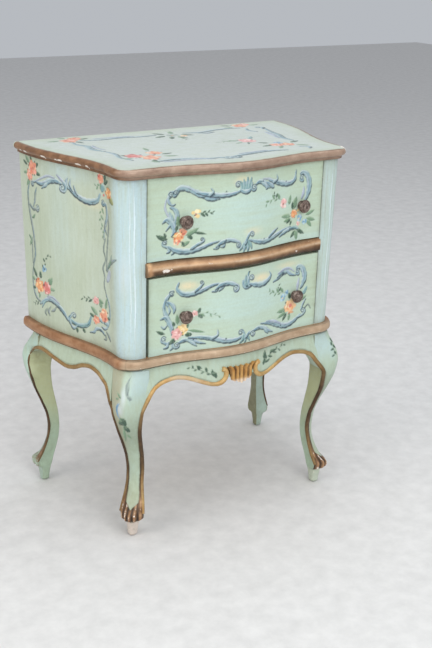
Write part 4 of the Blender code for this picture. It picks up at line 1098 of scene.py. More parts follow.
def top_ornament(work):
    """A thin scroll frame round the top, with flowers at its corners and middles."""
    curl = work.curl
    each(work.scroll, [
        (SLATE, (2, 5, 6, 4, 2), [(-150, -97), (-110, -92), (-78, -98), (-50, -110), (-22, -112)]),
        (MIST, (1, 3, 3, 1), [(-135, -104), (-100, -104), (-70, -106), (-44, -118)]),
        (SLATE, (2, 4, 3, 1.6), [(-30, -110), (-20, -122), *curl(-14, -116, 8, 230, 1.0, 1)]),
        (SLATE, (2, 4, 3, 1.6), [(12, -106), (6, -122), *curl(-2, -118, 8, 330, 1.0, -1)]),
        (SLATE, (3, 6, 6, 5, 2), [(2, -112), (30, -106), (60, -100), (92, -98), (120, -104)]),
        (MIST, (1, 3, 1), [(20, -98), (52, -94), (84, -91)]),
        (SLATE, (2, 4, 4, 2), [(-178, -70), (-186, -40), (-180, -10), (-186, 22)]),
        (SLATE, (2, 6, 7, 4, 1), [(-186, 18), (-196, 44), (-192, 72), (-202, 96), (-200, 118)]),
        (MIST, (1, 4, 1), [(-178, 30), (-184, 52), (-180, 76)]),
        (SLATE, (3, 6, 6, 4, 2), [(186, -30), (184, -4), (194, 26), (200, 58), (212, 100)]),
        (MIST, (2, 5, 3), [(176, 0), (184, 32), (190, 62)]),
        (SLATE, (2, 4, 2, 1.6), [(206, 96), (214, 108), *curl(206, 112, 7, 0, 1.0, 1)]),
        (SLATE, (2, 4, 5, 4, 2), [(-178, 128), (-140, 120), (-100, 124), (-60, 118), (-26, 120)]),
        (MIST, (1, 3, 1), [(-150, 134), (-110, 132), (-70, 128)]),
        (SLATE, (2, 4, 5, 4, 2), [(34, 118), (70, 112), (104, 122), (136, 126), (166, 122)]),
        (SLATE, (1, 4, 2), [(60, 108), (76, 100), (94, 104)]),
        (SLATE, (1, 4, 2), [(176, 110), (168, 92), (176, 74)]),
        (SLATE, (1, 4, 2), [(160, -86), (176, -96), (168, -108)]),
    ])
    each(work.leaf, [
        (MOSS, -164, -46, 120, 22, 7), (SAGE, -168, -60, 160, 20, 7), (MOSS, -140, -80, 250, 20, 7),
        (SAGE, -110, -60, 340, 24, 8), (MOSS, -106, -46, 10, 22, 7), (SAGE, -112, -10, 80, 26, 7),
        (SAGE, -150, -88, 290, 18, 7), (MOSS, -190, 122, 290, 20, 7), (SAGE, -214, 138, 180, 24, 8),
        (MOSS, -176, 136, 20, 22, 7), (SAGE, -196, 152, 120, 18, 7), (MOSS, -12, 104, 200, 26, 9),
        (MOSS, -6, 116, 130, 24, 9), (SAGE, 10, 118, 70, 24, 9), (MOSS, 22, 104, 330, 24, 9),
        (SAGE, 10, 92, 270, 24, 9), (MOSS, -4, 92, 240, 22, 8), (SAGE, 160, 132, 180, 20, 7),
        (MOSS, 164, 146, 150, 20, 7), (SAGE, 204, 138, 10, 22, 7), (MOSS, 124, -56, 190, 24, 8),
        (MOSS, 128, -38, 140, 20, 7), (SAGE, 134, -70, 230, 22, 7), (SAGE, 166, -70, 320, 24, 8),
        (MOSS, 170, -48, 20, 24, 8), (SAGE, 90, 6, 170, 26, 6), (SAGE, 88, -10, 200, 20, 5),
        (MOSS, 98, -14, 240, 18, 4), (TEAL, 118, 12, 50, 26, 8),
    ])
    work.sprig(SAGE, [(84, 2), (66, 8), (46, 6)], 5, 12, 4)
    work.sprig(MOSS, [(20, 88), (14, 70), (6, 54)], 5, 11, 4)
    each(work.rose, [
        (-158, -40, 17, ROSE, PINK, 0.3), (-136, -62, 19, CORAL, PEACH, 0.8),
        (-112, -30, 15, CORAL, ORANGE, 0.1),
    ])
    work.dab(-120, -26, 4, GESSO[:3], 0.8)
    work.rose(-198, 132, 17, CORAL, PINK, 0.2)
    work.rose(-180, 148, 13, CORAL, ROSE, 0.9)
    work.blossom(4, 104, 14, VINE, YELLOW[0], 6, 0.2)
    work.blossom(22, 92, 10, PEACH, CORAL[0], 5, 0.6)
    each(work.rose, [
        (182, 142, 17, CORAL, PEACH, 0.3), (200, 152, 12, PINK, CORAL, 1.0),
        (104, 0, 17, PINK, PINK, 0.4),
    ])
    work.dab(114, 8, 5, PINK[2], 0.9)
    work.rose(132, -58, 14, CORAL, PINK, 0.7)
    work.rose(154, -60, 14, CORAL, PEACH, 0.2)
    work.blossom(146, -40, 10, BLUE, MOSS[0], 5, 0.4)


def knee_ornament(work):
    """A small sprig down the knee: a grey leaf, a blue flower and dark leaves."""
    # Pale hazes down the knee, as a painted highlight.
    work.glow(-1, 270, 7, 22, MIST[2], 0.6)
    work.glow(-6, 252, 9, 15, MIST[2], 0.7)
    work.stroke(VINE, (0.4, 3.4, 3.8, 0.8), [(6, 296), (2, 286), (3, 276), (8, 264)])
    work.line(SLATE[0], (0.4, 1.4, 0.4), [(4, 290), (5, 280), (4, 270)], 0.7)
    each(work.leaf, [(VINE, 4, 272, 310, 8, 3), (SAGE, -4, 268, 150, 9, 3), (SAGE, -8, 266, 200, 6, 2.4)])
    work.stroke(BLUE, (0.8, 4, 3, 0.6), [(-6, 261), (-11, 253), (-10, 243), (-5, 236)])
    work.line(BLUE[0], (0.6, 1.6, 0.6), [(-9, 260), (-12, 252), (-11, 243)], 0.8)
    each(work.leaf, [
        (MOSS, -4, 240, 285, 13, 8), (MOSS, -4, 234, 235, 9, 6), (MOSS, -2, 226, 300, 11, 6),
        (SAGE, -3, 222, 262, 24, 4), (SAGE, -1, 212, 300, 9, 3),
    ])


def apron_ornament(work):
    """Leaf sprigs on the front apron, one each side of the shell."""
    work.sprig(MOSS, [(-54, -35), (-66, -26), (-84, -18), (-104, -10)], 8, 10, 3.8)
    work.leaf(MOSS, -56, -25, 295, 13, 6)
    work.leaf(MOSS, -88, -10, 330, 10, 4)
    work.sprig(MOSS, [(54, -32), (64, -18), (82, -12), (108, -5)], 9, 11, 4)
    each(work.leaf, [(MOSS, 55, -22, 85, 16, 6), (MOSS, 52, -32, 70, 12, 5), (MOSS, 70, -12, 10, 14, 5)])


# Pieces.


def board(outer, inner, low, high, passes, is_outer):
    """A board between two lines seen from above, its outer face cut into fine rows."""
    piece = open_piece()
    for line in (outer, inner):
        draw([(x, y, low) for x, y in line])
    pick_all()
    extrude_up(high - low)
    for cuts in passes:
        pick_edges(piece, lambda a, b: (np.abs(a[:, 2] - b[:, 2]) > WELD) & is_outer(a))
        bpy.ops.mesh.subdivide(number_cuts=cuts)
    for z in (low, high):
        pick_edges(piece, lambda a, b: (np.abs(a[:, 2] - z) < WELD) & (np.abs(b[:, 2] - z) < WELD))
        bpy.ops.mesh.bridge_edge_loops()
    pick_all()
    bpy.ops.mesh.fill_holes(sides=0)
    turn_faces_out()
    return piece, leave_edit(piece)


def make_drawer_front(drawer, material, ornament):
    """Bowed drawer front with its ornament."""
    left_edge, low, high = DRAWER_FACES[drawer]
    xs = np.linspace(left_edge, FRONT_HALF, DRAWER_COLUMNS)
    outer = [(x, face_y(x)) for x in xs]
    inner = [(x, FRONT_BACK_Y) for x in xs]

    def in_front(spots):
        return spots[:, 1] < FRONT_BACK_Y - 0.004

    piece, spots = board(outer, inner, low, high, DRAWER_CUTS, in_front)
    u, v = MM * spots[:, 0], MM * (spots[:, 2] - DRAWER_LOW[drawer])
    work = Paintwork(u, v, in_front(spots))
    ornament(work)
    work.finish(piece)
    sides = np.minimum(u - MM * left_edge, MM * FRONT_HALF - u)
    bottom_gap, top_gap = MM * (spots[:, 2] - low), MM * (high - spots[:, 2])
    border = np.minimum.reduce((sides, bottom_gap, top_gap))
    middle = np.hypot((u - 10) / 150, (v - 74) / 62)
    # Darker along the sides, and on the upper drawer under the top: painted shade in the gaps and under the
    # overhang, with some grime.
    shaded = np.minimum(sides, top_gap) if drawer == "upper_drawer" else sides
    grime_and_shade = 0.5 * np.exp(-shaded / 3) + 0.12 * np.exp(-shaded / 16)
    pale = 0.8 * (1 - smooth_step(0.2, 1.0, middle)) + 0.7 * bell(bottom_gap, 0, 15)
    store_age(piece, grime_and_shade, 0.35 * np.exp(-border / 1.6), 0.0, np.minimum(pale, 1.0))
    close_piece(piece, drawer + "_painted_front", drawer, material, [drawer + "_front"])


def along_wall(spots):
    """Distance in millimetres along a side and its rounded post, from behind to the drawer opening."""
    x, y = np.abs(spots[:, 0]), spots[:, 1]
    angle = np.arctan2(np.maximum(POST_Y - y, 0), np.maximum(x - POST_X, 1e-9))
    flat = POST_Y - 0.5 * math.pi * POST_RADIUS - np.maximum(POST_X - x, 0)
    return MM * np.where(y > POST_Y, y, np.where(x > POST_X, POST_Y - POST_RADIUS * angle, flat))


# Points along a side and its post, and the cuts of its height, made one after the other.
WALL_COLUMNS = 264
WALL_CUTS = (15, 16)
# Millimetres by which the side's ornament moves forward and up from the back to the front.
SWEEP_FORWARD = 4.6
SWEEP_UP = 2.0
# Millimetres by which it leans forward, from its foot to this height.
LEAN_FORWARD = 12
LEAN_HEIGHT = 170


def ornament_lean(v):
    return LEAN_FORWARD * np.clip(v / LEAN_HEIGHT, 0, 1)


def make_wall(side, word, material):
    """Swept side and rounded corner post under one coat of paint, leaning out towards the top."""
    low, high = (corner[2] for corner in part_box(word + "_side_panel"))
    line = half_outline(0.0, POST_RADIUS, CASE_BACK_Y, (120, 24, 2))[:-1] + [(OPENING_HALF, FACE_END_Y)]
    behind = [(side_x(y) - SIDE_THICK, y) for y in np.linspace(CASE_BACK_Y, POST_BACK_Y, 60)]
    behind.append((OPENING_HALF, POST_BACK_Y))
    outer, inner = (spaced(points, WALL_COLUMNS) * (side, 1) for points in (line, behind))

    def outside(spots):
        reach = np.array([side_x(y) for y in spots[:, 1]]) - 0.5 * SIDE_THICK
        return (spots[:, 1] < POST_BACK_Y - 0.001) | (np.abs(spots[:, 0]) > reach)

    piece, spots = board(outer, inner, low, high, WALL_CUTS, outside)
    place, v = along_wall(spots), MM * (spots[:, 2] - PANEL_LOW)
    sweep = 0.5 - 0.5 * np.cos(math.pi * np.clip((BACK_Y - spots[:, 1]) / SIDE_SWEEP, 0, 1) ** SIDE_POWER)
    work = Paintwork(place + SWEEP_FORWARD * sweep + ornament_lean(v), v - SWEEP_UP * sweep, outside(spots))
    side_ornament(work)
    # Brush streaks down the post, two of them a painted reflection.
    for reach, tone, width, strength in POST_STREAKS_AND_SHEEN:
        start = place.min() + SWEEP_FORWARD + reach
        line = [(start + ornament_lean(z) + 0.7 * math.sin(z / 23), z) for z in range(16, 340, 27)]
        work.line(tone, (0.4, width, 0.5 * width, width, 0.4), line, strength)
    work.finish(piece)
    mouth_gap = place - place.min()
    top_gap = MM * high - MM * PANEL_LOW - v
    # Darker under the top, above the moulding, along the drawer opening and in a band just behind the post:
    # painted shade, with some grime.
    grime_and_shade = 0.5 * np.exp(-top_gap / 9) + 0.45 * np.exp(-v / 12) + 0.5 * np.exp(-mouth_gap / 2.5)
    grime_and_shade += 0.3 * bell(place, -90, 9)
    chips = 0.3 * np.exp(-v / 3) + 0.45 * np.exp(-mouth_gap / 2)
    # The corner posts paler and bluer, fully on the left and less on the right: the paint's bloom with a
    # painted sheen.
    post_bloom_and_sheen = 1.0 if side < 0 else 0.6
    pale = 0.45 * bell(place, 10, 60) * bell(v, 305, 16)
    pale += post_bloom_and_sheen * smooth_step(88, 118, -place)
    pale += 0.28 * bell(place, 42, 30) * smooth_step(40, 190, v)
    store_age(piece, grime_and_shade, chips, 0.0, pale)
    share = (np.abs(spots[:, 0]) - OPENING_HALF) / (CASE_FRONT_HALF - OPENING_HALF)
    share = np.clip(share, 0, 1) * outside(spots)
    spots[:, 0] += side * SIDE_FLARE * share * (spots[:, 2] - low) / (high - low)
    piece.data.vertices.foreach_set("co", spots.ravel())
    nodes = [word + "_side_panel", "front_" + word + "_post"]
    close_piece(piece, word + "_painted_side", "carcass", material, nodes)


# Points of half the top's outline along its side, corner and front, then the grid's cells along its sides.
TOP_COUNTS = (90, 33, 120)
TOP_SIDE_CELLS = 196
TOP_FRONT_CELLS = 174
TOP_GAIN = 1.8
TOP_COVER = 0.88


def make_top(material):
    """Shaped top: a bullnosed gilt edge over a small step, its face a fine grid for the ornament."""
    line = np.array(half_outline(TOP_OVERHANG, TOP_RADIUS, BACK_Y, TOP_COUNTS)) * (TOP_STRETCH, 1)
    bend = TOP_COUNTS[0] + TOP_COUNTS[1] // 2
    right_side = spaced(line[:bend + 1], TOP_SIDE_CELLS)
    right_front = spaced(line[bend:], TOP_FRONT_CELLS)
    mirror = np.array((-1, 1))
    front = np.vstack((right_front * mirror, right_front[::-1][1:]))
    corner = right_side[0]
    back_end = corner - np.array((1.2 * TOP_EDGE_RADIUS, 0))
    back = np.vstack((corner, spaced([back_end, back_end * mirror], 2 * TOP_FRONT_CELLS - 2)))
    loop = np.vstack((right_side[:-1] * mirror, front[:-1], right_side[::-1][:-1], back))
    step_z = CASE_TOP_Z + TOP_STEP
    piece = open_piece()
    ring = [(x, y, step_z) for x, y in loop]
    draw([*ring, ring[0]])
    weld()
    bpy.ops.mesh.edge_face_add()
    extrude_up(HEIGHT - step_z)
    turn_faces_out()

    def on_rim(a, b):
        behind = (a[:, 1] > BACK_Y - WELD) & (b[:, 1] > BACK_Y - WELD)
        return (np.abs(a[:, 2] - b[:, 2]) < WELD) & ~behind

    pick_edges(piece, on_rim)
    bpy.ops.mesh.bevel(offset=0.98 * TOP_EDGE_RADIUS, segments=8, profile=0.5, affect="EDGES",
                       clamp_overlap=False)
    pick_faces(piece, lambda face: face.area > 0.05 and face.normal.z < -0.9)
    bpy.ops.mesh.inset(thickness=0.0005)
    extrude_up(-TOP_STEP)
    pick_faces(piece, lambda face: face.area > 0.05 and face.normal.z > 0.9)
    bpy.ops.mesh.delete(type="ONLY_FACE")
    bpy.ops.mesh.select_mode(type="EDGE")
    bpy.ops.mesh.select_all(action="DESELECT")
    bpy.ops.mesh.select_non_manifold()
    mesh = bmesh.from_edit_mesh(piece.data)
    first = max((spot for spot in mesh.verts if spot.select), key=lambda spot: 10 * spot.co.y - spot.co.x)
    mesh.select_history.clear()
    mesh.select_history.add(first)
    bpy.ops.mesh.fill_grid(span=2 * TOP_FRONT_CELLS, use_interp_simple=True)
    turn_faces_out()
    spots = leave_edit(piece)
    face = spots[:, 2] > HEIGHT - 0.0004
    work = Paintwork(MM * spots[:, 0], MM * spots[:, 1], face)
    work.gain = TOP_GAIN
    top_ornament(work)
    work.cover *= TOP_COVER
    work.finish(piece)
    x, y, z = spots.T
    plain_x = np.abs(x) / TOP_STRETCH
    side_gap = np.array([side_x(depth) for depth in y]) + TOP_OVERHANG - plain_x
    front_gap = y - np.array([face_y(across) for across in x]) + TOP_OVERHANG
    rim_gap = np.minimum(side_gap, front_gap)
    wobble = 0.0005 * np.sin(61 * x + 3) + 0.0003 * np.sin(173 * x + 131 * y)
    behind = smooth_step(BACK_Y - 0.004, BACK_Y - 0.001, y)
    gilt = np.where(face, 1 - smooth_step(0.0068, 0.0086, rim_gap + wobble), 1.0) * (1 - behind)
    chips = np.zeros(len(spots))
    for place, run in LOST_RIM:
        lost = ((y - place) / run) ** 4 + ((z - step_z - 0.0022) / 0.0026) ** 2
        chips += 1.3 * np.exp(-lost) * (x < -0.19)
    tip = bell(x, 0.238, 0.014) * bell(y, -0.128, 0.016)
    line_gap = bell(rim_gap, 0.0094, 0.0012)
    # Darker on the step towards the case and under the bullnose: painted shade, with some grime.
    step_shade = 0.15 + 0.7 * np.exp(-(z - CASE_TOP_Z) / 0.0014)
    under = np.where(z < step_z, step_shade, 0.4 * np.exp(-(z - step_z) / 0.001))
    grime_and_shade = np.where(face, 0.1 + 0.5 * line_gap, under)
    face_pale = 0.95 * smooth_step(-0.012, 0.05, np.minimum(rim_gap, BACK_Y - y))
    # On the rim, the front run turns from the sides' warm gilding to the lighter faded one: painted light.
    pale = np.where(face, face_pale, smooth_step(0.118, 0.142, -y))
    store_age(piece, grime_and_shade, chips + 1.2 * tip * (z > 0.670), gilt * (1 - 0.8 * tip), pale)
    close_piece(piece, "painted_top", "carcass", material, ["top_board"])


def corner_radius(offset):
    return POST_RADIUS + (CORNER_RADIUS - POST_RADIUS) * offset / MOULD_OUT


def mould_span(y):
    """Lower and upper edge of the base moulding: its front run is a little thinner than the sides."""
    front = smooth_step(0.112, 0.137, -y)
    return MOULD_LOW + 0.002 * front, MOULD_LOW + MOULD_HEIGHT - 0.0018 * front


def make_moulding(material):
    """Gilt moulding round the foot of the case, in one run from the back left to the back right."""
    rows = []
    for share, reach in MOULD_SECTION:
        offset = reach * MOULD_OUT
        right = half_outline(offset, corner_radius(offset), CASE_BACK_Y, (50, 48, 70))
        row = []
        for x, y in [(-x, y) for x, y in right] + right[::-1][1:]:
            low, high = mould_span(y)
            row.append((x, y, low + share * (high - low)))
        rows.append(row)
    piece, spots = skin(rows, closed=True)
    low, high = mould_span(spots[:, 1])
    rise = (spots[:, 2] - low) / (high - low)
    mitre_gap = np.abs(spots[:, 0]) - POST_X + spots[:, 1] - POST_Y
    mitre = bell(mitre_gap, 0, 0.0014) * (spots[:, 1] < POST_Y)
    # Darker at its lower and upper edges: painted shade with some grime; a dark line at the mitre's joint.
    grime_and_shade = 0.9 * np.exp(-rise / 0.06) + 0.35 * np.exp(-(1 - rise) / 0.04) + 0.3 * mitre
    front = smooth_step(0.120, 0.134, -spots[:, 1])
    chips = (0.15 + 0.3 * front) * smooth_step(0.05, 0.15, rise) * (1 - smooth_step(0.25, 0.4, rise))
    # A painted highlight along the lower lip, and the front run lighter gilding than the sides: painted
    # light.
    lip = bell(rise, 0.16, 0.07)
    store_age(piece, grime_and_shade, chips, (0.15 + 0.5 * front) * lip, front)
    nodes = ["base_moulding_front", "base_moulding_left", "base_moulding_right"]
    close_piece(piece, "gilt_base_moulding", "carcass", material, nodes)


def make_bead(material):
    """Half-round gilt bead between the drawers, fuller at its worn left end, dying away at the right one."""
    xs = np.linspace(-BEAD_HALF, BEAD_HALF, 141)
    rows = []
    for angle in np.radians(np.linspace(-90, 90, 19)):
        rise = 0.5 * BEAD_HEIGHT * (1 + math.sin(angle))
        row = []
        for x in xs:
            fade = float(smooth_step(0.125, BEAD_HALF, x))
            swell = 1 + 0.1 * bell(x, *BEAD_END) + 0.02 * math.sin(210 * x) - 0.8 * fade
            out = face_y(x) - GAP - BEAD_OUT * math.cos(angle) * swell
            row.append((x, out, BEAD_LOW + rise * (1 - 0.13 * fade)))
        rows.append(row)
    piece, spots = skin(rows, closed=True)
    x, rise = spots[:, 0], (spots[:, 2] - BEAD_LOW) / BEAD_HEIGHT
    # Darker on its lower half and at its top edge: painted shade with some grime.
    grime_and_shade = 1.2 * np.exp(-rise / 0.16) + 0.3 * np.exp(-(1 - rise) / 0.06)
    end = bell(x, *BEAD_END)
    chip = bell(x, -0.149, 0.008) * bell(rise, 0.40, 0.13)
    small = bell(x, 0.122, 0.003) * bell(rise, 0.4, 0.12)
    small += 0.6 * bell(x, -0.072, 0.006) * bell(rise, 0.62, 0.08)
    # A painted highlight: a lighter band over the upper middle and a cream line along it.
    light = bell(rise, 0.66, 0.24)
    shine = 0.6 * bell(rise, 0.6, 0.08) * (0.7 + 0.3 * np.sin(37 * x + 1)) * (1 - end)
    store_age(piece, grime_and_shade * (1 - 0.6 * end), 0.2 + 0.9 * chip + 0.7 * small, shine, np.maximum(light, end))
    close_piece(piece, "gilt_divider_bead", "carcass", material, ["divider_bead"])


def make_knob(drawer, word, material):
    """Turned bronze knob with stepped rings and a small button."""
    x = KNOB_PLACES[drawer][word]
    seat = face_y(abs(x) + KNOB_FOOT)
    z = DRAWER_LOW[drawer] + KNOB_RISE
    piece = open_piece()
    draw([(x + min(r * KNOB_FOOT, KNOB_RADIUS), seat - d * KNOB_LENGTH, z) for r, d in KNOB_SECTION])
    pick_all()
    bpy.ops.mesh.spin(steps=KNOB_STEPS, angle=2 * math.pi, center=(x, seat, z), axis=(0, 1, 0))
    weld()
    turn_faces_out()
    name = drawer + "_" + word
    close_piece(piece, name + "_turned_knob", drawer, material, [name + "_knob"])


def smooth_table(rows, place):
    """Smooth values between the rows of a table, without overshoot."""
    table = np.asarray(rows, dtype=float)
    places, values = table[:, 0], table[:, 1:]
    steps = np.diff(places)
    slopes = np.diff(values, axis=0) / steps[:, None]
    tangents = np.zeros_like(values)
    with np.errstate(divide="ignore", invalid="ignore"):
        shared = 2 * slopes[:-1] * slopes[1:] / (slopes[:-1] + slopes[1:])
    tangents[1:-1] = np.where(slopes[:-1] * slopes[1:] > 0, shared, 0.0)
    k = int(np.clip(np.searchsorted(places, place, side="left") - 1, 0, len(steps) - 1))
    t = (place - places[k]) / steps[k]
    return ((2 * t**3 - 3 * t**2 + 1) * values[k] + (t**3 - 2 * t**2 + t) * tangents[k] * steps[k]
            + (3 * t**2 - 2 * t**3) * values[k + 1] + (t**3 - t**2) * tangents[k + 1] * steps[k])


def leg_table():
    """The leg's stations, with those where its knee runs into the block."""
    corner = (2 * LEG_CORNER - LEG_BLOCK) * HALF_ROOT / LEG_BLOCK
    inner = -(LEG_BLOCK - LEG_CORNER) * 2 * HALF_ROOT / LEG_BLOCK
    rows = list(LEG_STATIONS)
    for height, outer, roundness in KNEE_STATIONS:
        rows.append((height, LEG_LEAN / LEG_BLOCK, outer, corner, HALF_ROOT, inner, roundness, 1.0))
    return rows


LEG_TABLE = leg_table()
# Where the leg's rows lie, as runs from one height up the leg to another with so many rows.
LEG_RUNS = ((0, 0.086, 5), (0.091, 0.19, 16), (0.2, 0.82, 36), (0.832, 0.9990, 18))
TOE_CARVING = 0.045
TOE_GROOVES = 5
# Heights up the leg, then the width in millimetres of the gilt band along its corners.
BAND_WIDTHS = ((0.16, 0.24, 0.34, 0.62, 0.82), (9.0, 5.0, 3.8, 3.4, 0.6))
# Size of the knee's ornament, its height on the leg and the middle of its drawing.
KNEE_GAIN, KNEE_RISE, KNEE_MIDDLE = 1.3, 274, 262


def outward(leg):
    """Foot of a leg and the direction of its diagonal, away from the case."""
    foot_x, foot_y = FEET[leg]
    return foot_x, foot_y, math.copysign(HALF_ROOT, foot_x), math.copysign(HALF_ROOT, foot_y)


def on_leg(leg, lean, out, across, height):
    """A point of a leg from its distances out along the diagonal, across it and up."""
    foot_x, foot_y, out_x, out_y = outward(leg)
    x = foot_x + LEG_BLOCK * (math.copysign(lean, foot_x) + out * out_x - across * out_y)
    y = foot_y + LEG_BLOCK * (out * out_y + across * out_x)
    return (x, y, height * LEG_HEIGHT)


def arch_cut(leg, side_share, height):
    """How far the side arch cuts back into a rear leg, all of it at the leg's side corner."""
    if leg.startswith("front"):
        return 0.0
    heights, cuts = zip(*REAR_ARCH)
    return float(np.interp(height, heights, cuts)) * max(side_share, 0.0)


def make_leg(leg):
    """Cabriole leg with a carved toe over a turned peg, for a corner on the left."""
    rows = []
    for height in np.concatenate([np.linspace(*run) for run in LEG_RUNS]):
        lean, outer, corner, half, inner, outer_round, inner_round = smooth_table(LEG_TABLE, height)
        carving = TOE_CARVING * smooth_step(0.09, 0.105, height) * (1 - smooth_step(0.125, 0.185, height))
        ring = []
        for u in np.linspace(1, -1, 33):
            out = corner + (outer - corner) * (1 - abs(u) ** outer_round)
            out -= carving * (1 - math.cos(TOE_GROOVES * math.pi * u))
            ring.append((out, u))
        for u in np.linspace(-1, 1, 21)[1:-1]:
            ring.append((corner + (inner - corner) * (1 - abs(u) ** inner_round), u))
        row = []
        for out, u in ring:
            x, y, z = on_leg(leg, lean, out, half * u, height)
            row.append((x, y + arch_cut(leg, u, height), z))
        rows.append(row)
    return skin(rows, rings=True)[0]


def copy_leg(pattern):
    """A copy of a left leg, mirrored to the right."""
    pick_piece(pattern)
    bpy.ops.object.duplicate(linked=False)
    piece = bpy.context.object
    bpy.ops.object.mode_set(mode="EDIT")
    pick_all()
    bpy.ops.transform.resize(value=(-1, 1, 1), center_override=(0, 0, 0))
    turn_faces_out()
    bpy.ops.object.mode_set(mode="OBJECT")
    return piece


def finish_leg(piece, leg, material):
    """Subdivides a leg for its paint and paints it."""
    smoothing = piece.modifiers.new("smoothing", "SUBSURF")
    smoothing.levels = 1
    smoothing.render_levels = 1
    pick_piece(piece)
    bpy.ops.object.modifier_apply(modifier=smoothing.name)
    spots = points_of(piece)
    foot_x, foot_y, out_x, out_y = outward(leg)
    stops = np.linspace(0, 1, 401)
    table = np.array([smooth_table(LEG_TABLE, stop)[[0, 3]] for stop in stops])
    rise = np.clip(spots[:, 2] / LEG_HEIGHT, 0, 1)
    lean, half = (np.interp(rise, stops, column) for column in table.T)
    away_x = spots[:, 0] - foot_x - LEG_BLOCK * np.copysign(lean, foot_x)
    away_y = spots[:, 1] - foot_y
    across = -away_x * out_y + away_y * out_x
    normals = np.empty(3 * len(spots))
    piece.data.vertex_normals.foreach_get("vector", normals)
    normals = normals.reshape(-1, 3)
    outside = normals @ (out_x, out_y, 0.0) > -0.1
    across_mm = MM * across * (1 if foot_x < 0 else -1)
    knee_v = (MM * spots[:, 2] - KNEE_RISE) / KNEE_GAIN + KNEE_MIDDLE
    work = Paintwork(across_mm / KNEE_GAIN, knee_v, outside)
    # The faces turned in get painted shade up under the case and painted light lower down.
    low_tone, high_tone = INNER_LEG_SHADE_AND_LIGHT
    inner_tone = low_tone + smooth_step(0.3, 0.6, rise)[:, None] * (high_tone - low_tone)
    # On the rear right leg, painted shade on the faces turned left and painted light on the rest.
    if leg == "rear_right":
        inner_tone = np.where((normals[:, 0] < -0.6)[:, None], *REAR_RIGHT_LEG_SHADE_AND_LIGHT)
    work.wash(inner_tone, np.where(outside, 0.0, 0.75) * (1 - smooth_step(0.84, 0.88, rise)))
    in_front = leg.startswith("front")
    if in_front:
        # Painted shade on the knee's left and down the shaft, a painted highlight on the knee's right.
        work.wash(KNEE_SHADE, 0.65 * smooth_step(2, 12, -across_mm) * smooth_step(0.45, 0.6, rise) * outside)
        work.wash(SHAFT_SHADE, 0.55 * bell(rise, 0.63, 0.12) * outside)
        work.wash(KNEE_LIGHT, 0.6 * smooth_step(3, 14, across_mm) * smooth_step(0.8, 0.92, rise) * outside)
    if leg == "front_left":
        knee_ornament(work)
    if leg == "front_right":
        work.sprig(MOSS, [(3, 292), (4, 280), (7, 264)], 6, 9, 4)
    peg = (1 - smooth_step(0.090, 0.102, rise)) * in_front
    if in_front:
        work.wash(PEGS[leg], 0.98 * peg)
    work.finish(piece)
    half_width = np.maximum(LEG_BLOCK * half, 0.001)
    groove = 0.5 - 0.5 * np.cos(TOE_GROOVES * math.pi * across / half_width)
    tongue = 0.165 + 0.055 * np.clip(np.abs(across) / half_width, 0, 1)
    toe = smooth_step(0.096, 0.108, rise) * (1 - smooth_step(tongue, tongue + 0.02, rise)) * outside
    toe = toe * (1.0 if in_front else 0.5)
    gap = MM * (LEG_BLOCK * half - np.abs(across))
    shaft = smooth_step(0.15, 0.2, rise) * (1 - smooth_step(0.80, 0.84, rise)) * outside
    if not in_front:
        shaft = shaft * (across_mm > 0)
    spread = np.interp(rise, *BAND_WIDTHS)
    band = shaft * (1 - smooth_step(spread, spread + 1.5, gap))
    # Darker in the toe's grooves, under the apron, on the inner faces up under the case and towards the
    # floor: painted shade, with some grime; a dark line beside the gilt band.
    grime_and_shade = 0.8 * toe * groove + 0.7 * toe * bell(rise, 0.172, 0.02) + 0.4 * np.exp(-(1 - rise) / 0.02)
    grime_and_shade += (1 - outside) * (0.08 + 0.75 * bell(rise, 0.92, 0.14))
    grime_and_shade += 0.3 * (1 - smooth_step(0.2, 0.7, rise)) + 0.8 * shaft * bell(gap - spread, 1.2, 1.0)
    chips = 0.4 * peg + 0.6 * toe * (1 - groove)
    copper = np.maximum(toe * (1 - groove), 0.6 * (1 - smooth_step(0.18, 0.3, rise)) * band)
    # Paler, bluer outer faces: above the toe on the front legs, and all down the rear legs as painted light.
    cool = (0.6 * smooth_step(0.22, 0.4, rise) if in_front else 1.0) * outside * (1 - np.maximum(toe, band))
    store_age(piece, grime_and_shade, chips, np.maximum(0.85 * toe, band), np.maximum(copper, cool))
    close_piece(piece, leg + "_carved_leg", "carcass", material, [leg + "_leg"], 60)


def front_drop(x):
    return float(smooth_table(FRONT_EDGE, abs(x))[0])


def front_reach(x, t):
    """How far the front apron swells out of the case at t, from its top to its lower edge."""
    share = min(abs(x) / APRON_END_X, 1.0)
    swell = 0.004 + 0.001 * share + (0.002 + 0.003 * share) * math.sin(0.5 * math.pi * t)
    return swell + 0.0035 * float(smooth_step(0.160, 0.190, abs(x))) * t * t


def side_drop(y):
    return float(smooth_table(SIDE_EDGE, y)[0])


def side_reach(t):
    return 0.005 + 0.005 * math.sin(0.5 * math.pi * t)


def apron_age(piece, spots, drops, pale):
    """Dark lines above the bead and under the moulding."""
    edge_gap = spots[:, 2] - (APRON_TOP - np.array(drops))
    top_gap = APRON_TOP - spots[:, 2]
    # The line above the bead is part of the apron's paintwork; the darkening under the moulding is painted
    # shade.
    grime_and_shade = 0.9 * bell(edge_gap, 0.0072, 0.0014) + 0.5 * np.exp(-top_gap / 0.005)
    store_age(piece, grime_and_shade, 0.0, 0.0, pale)


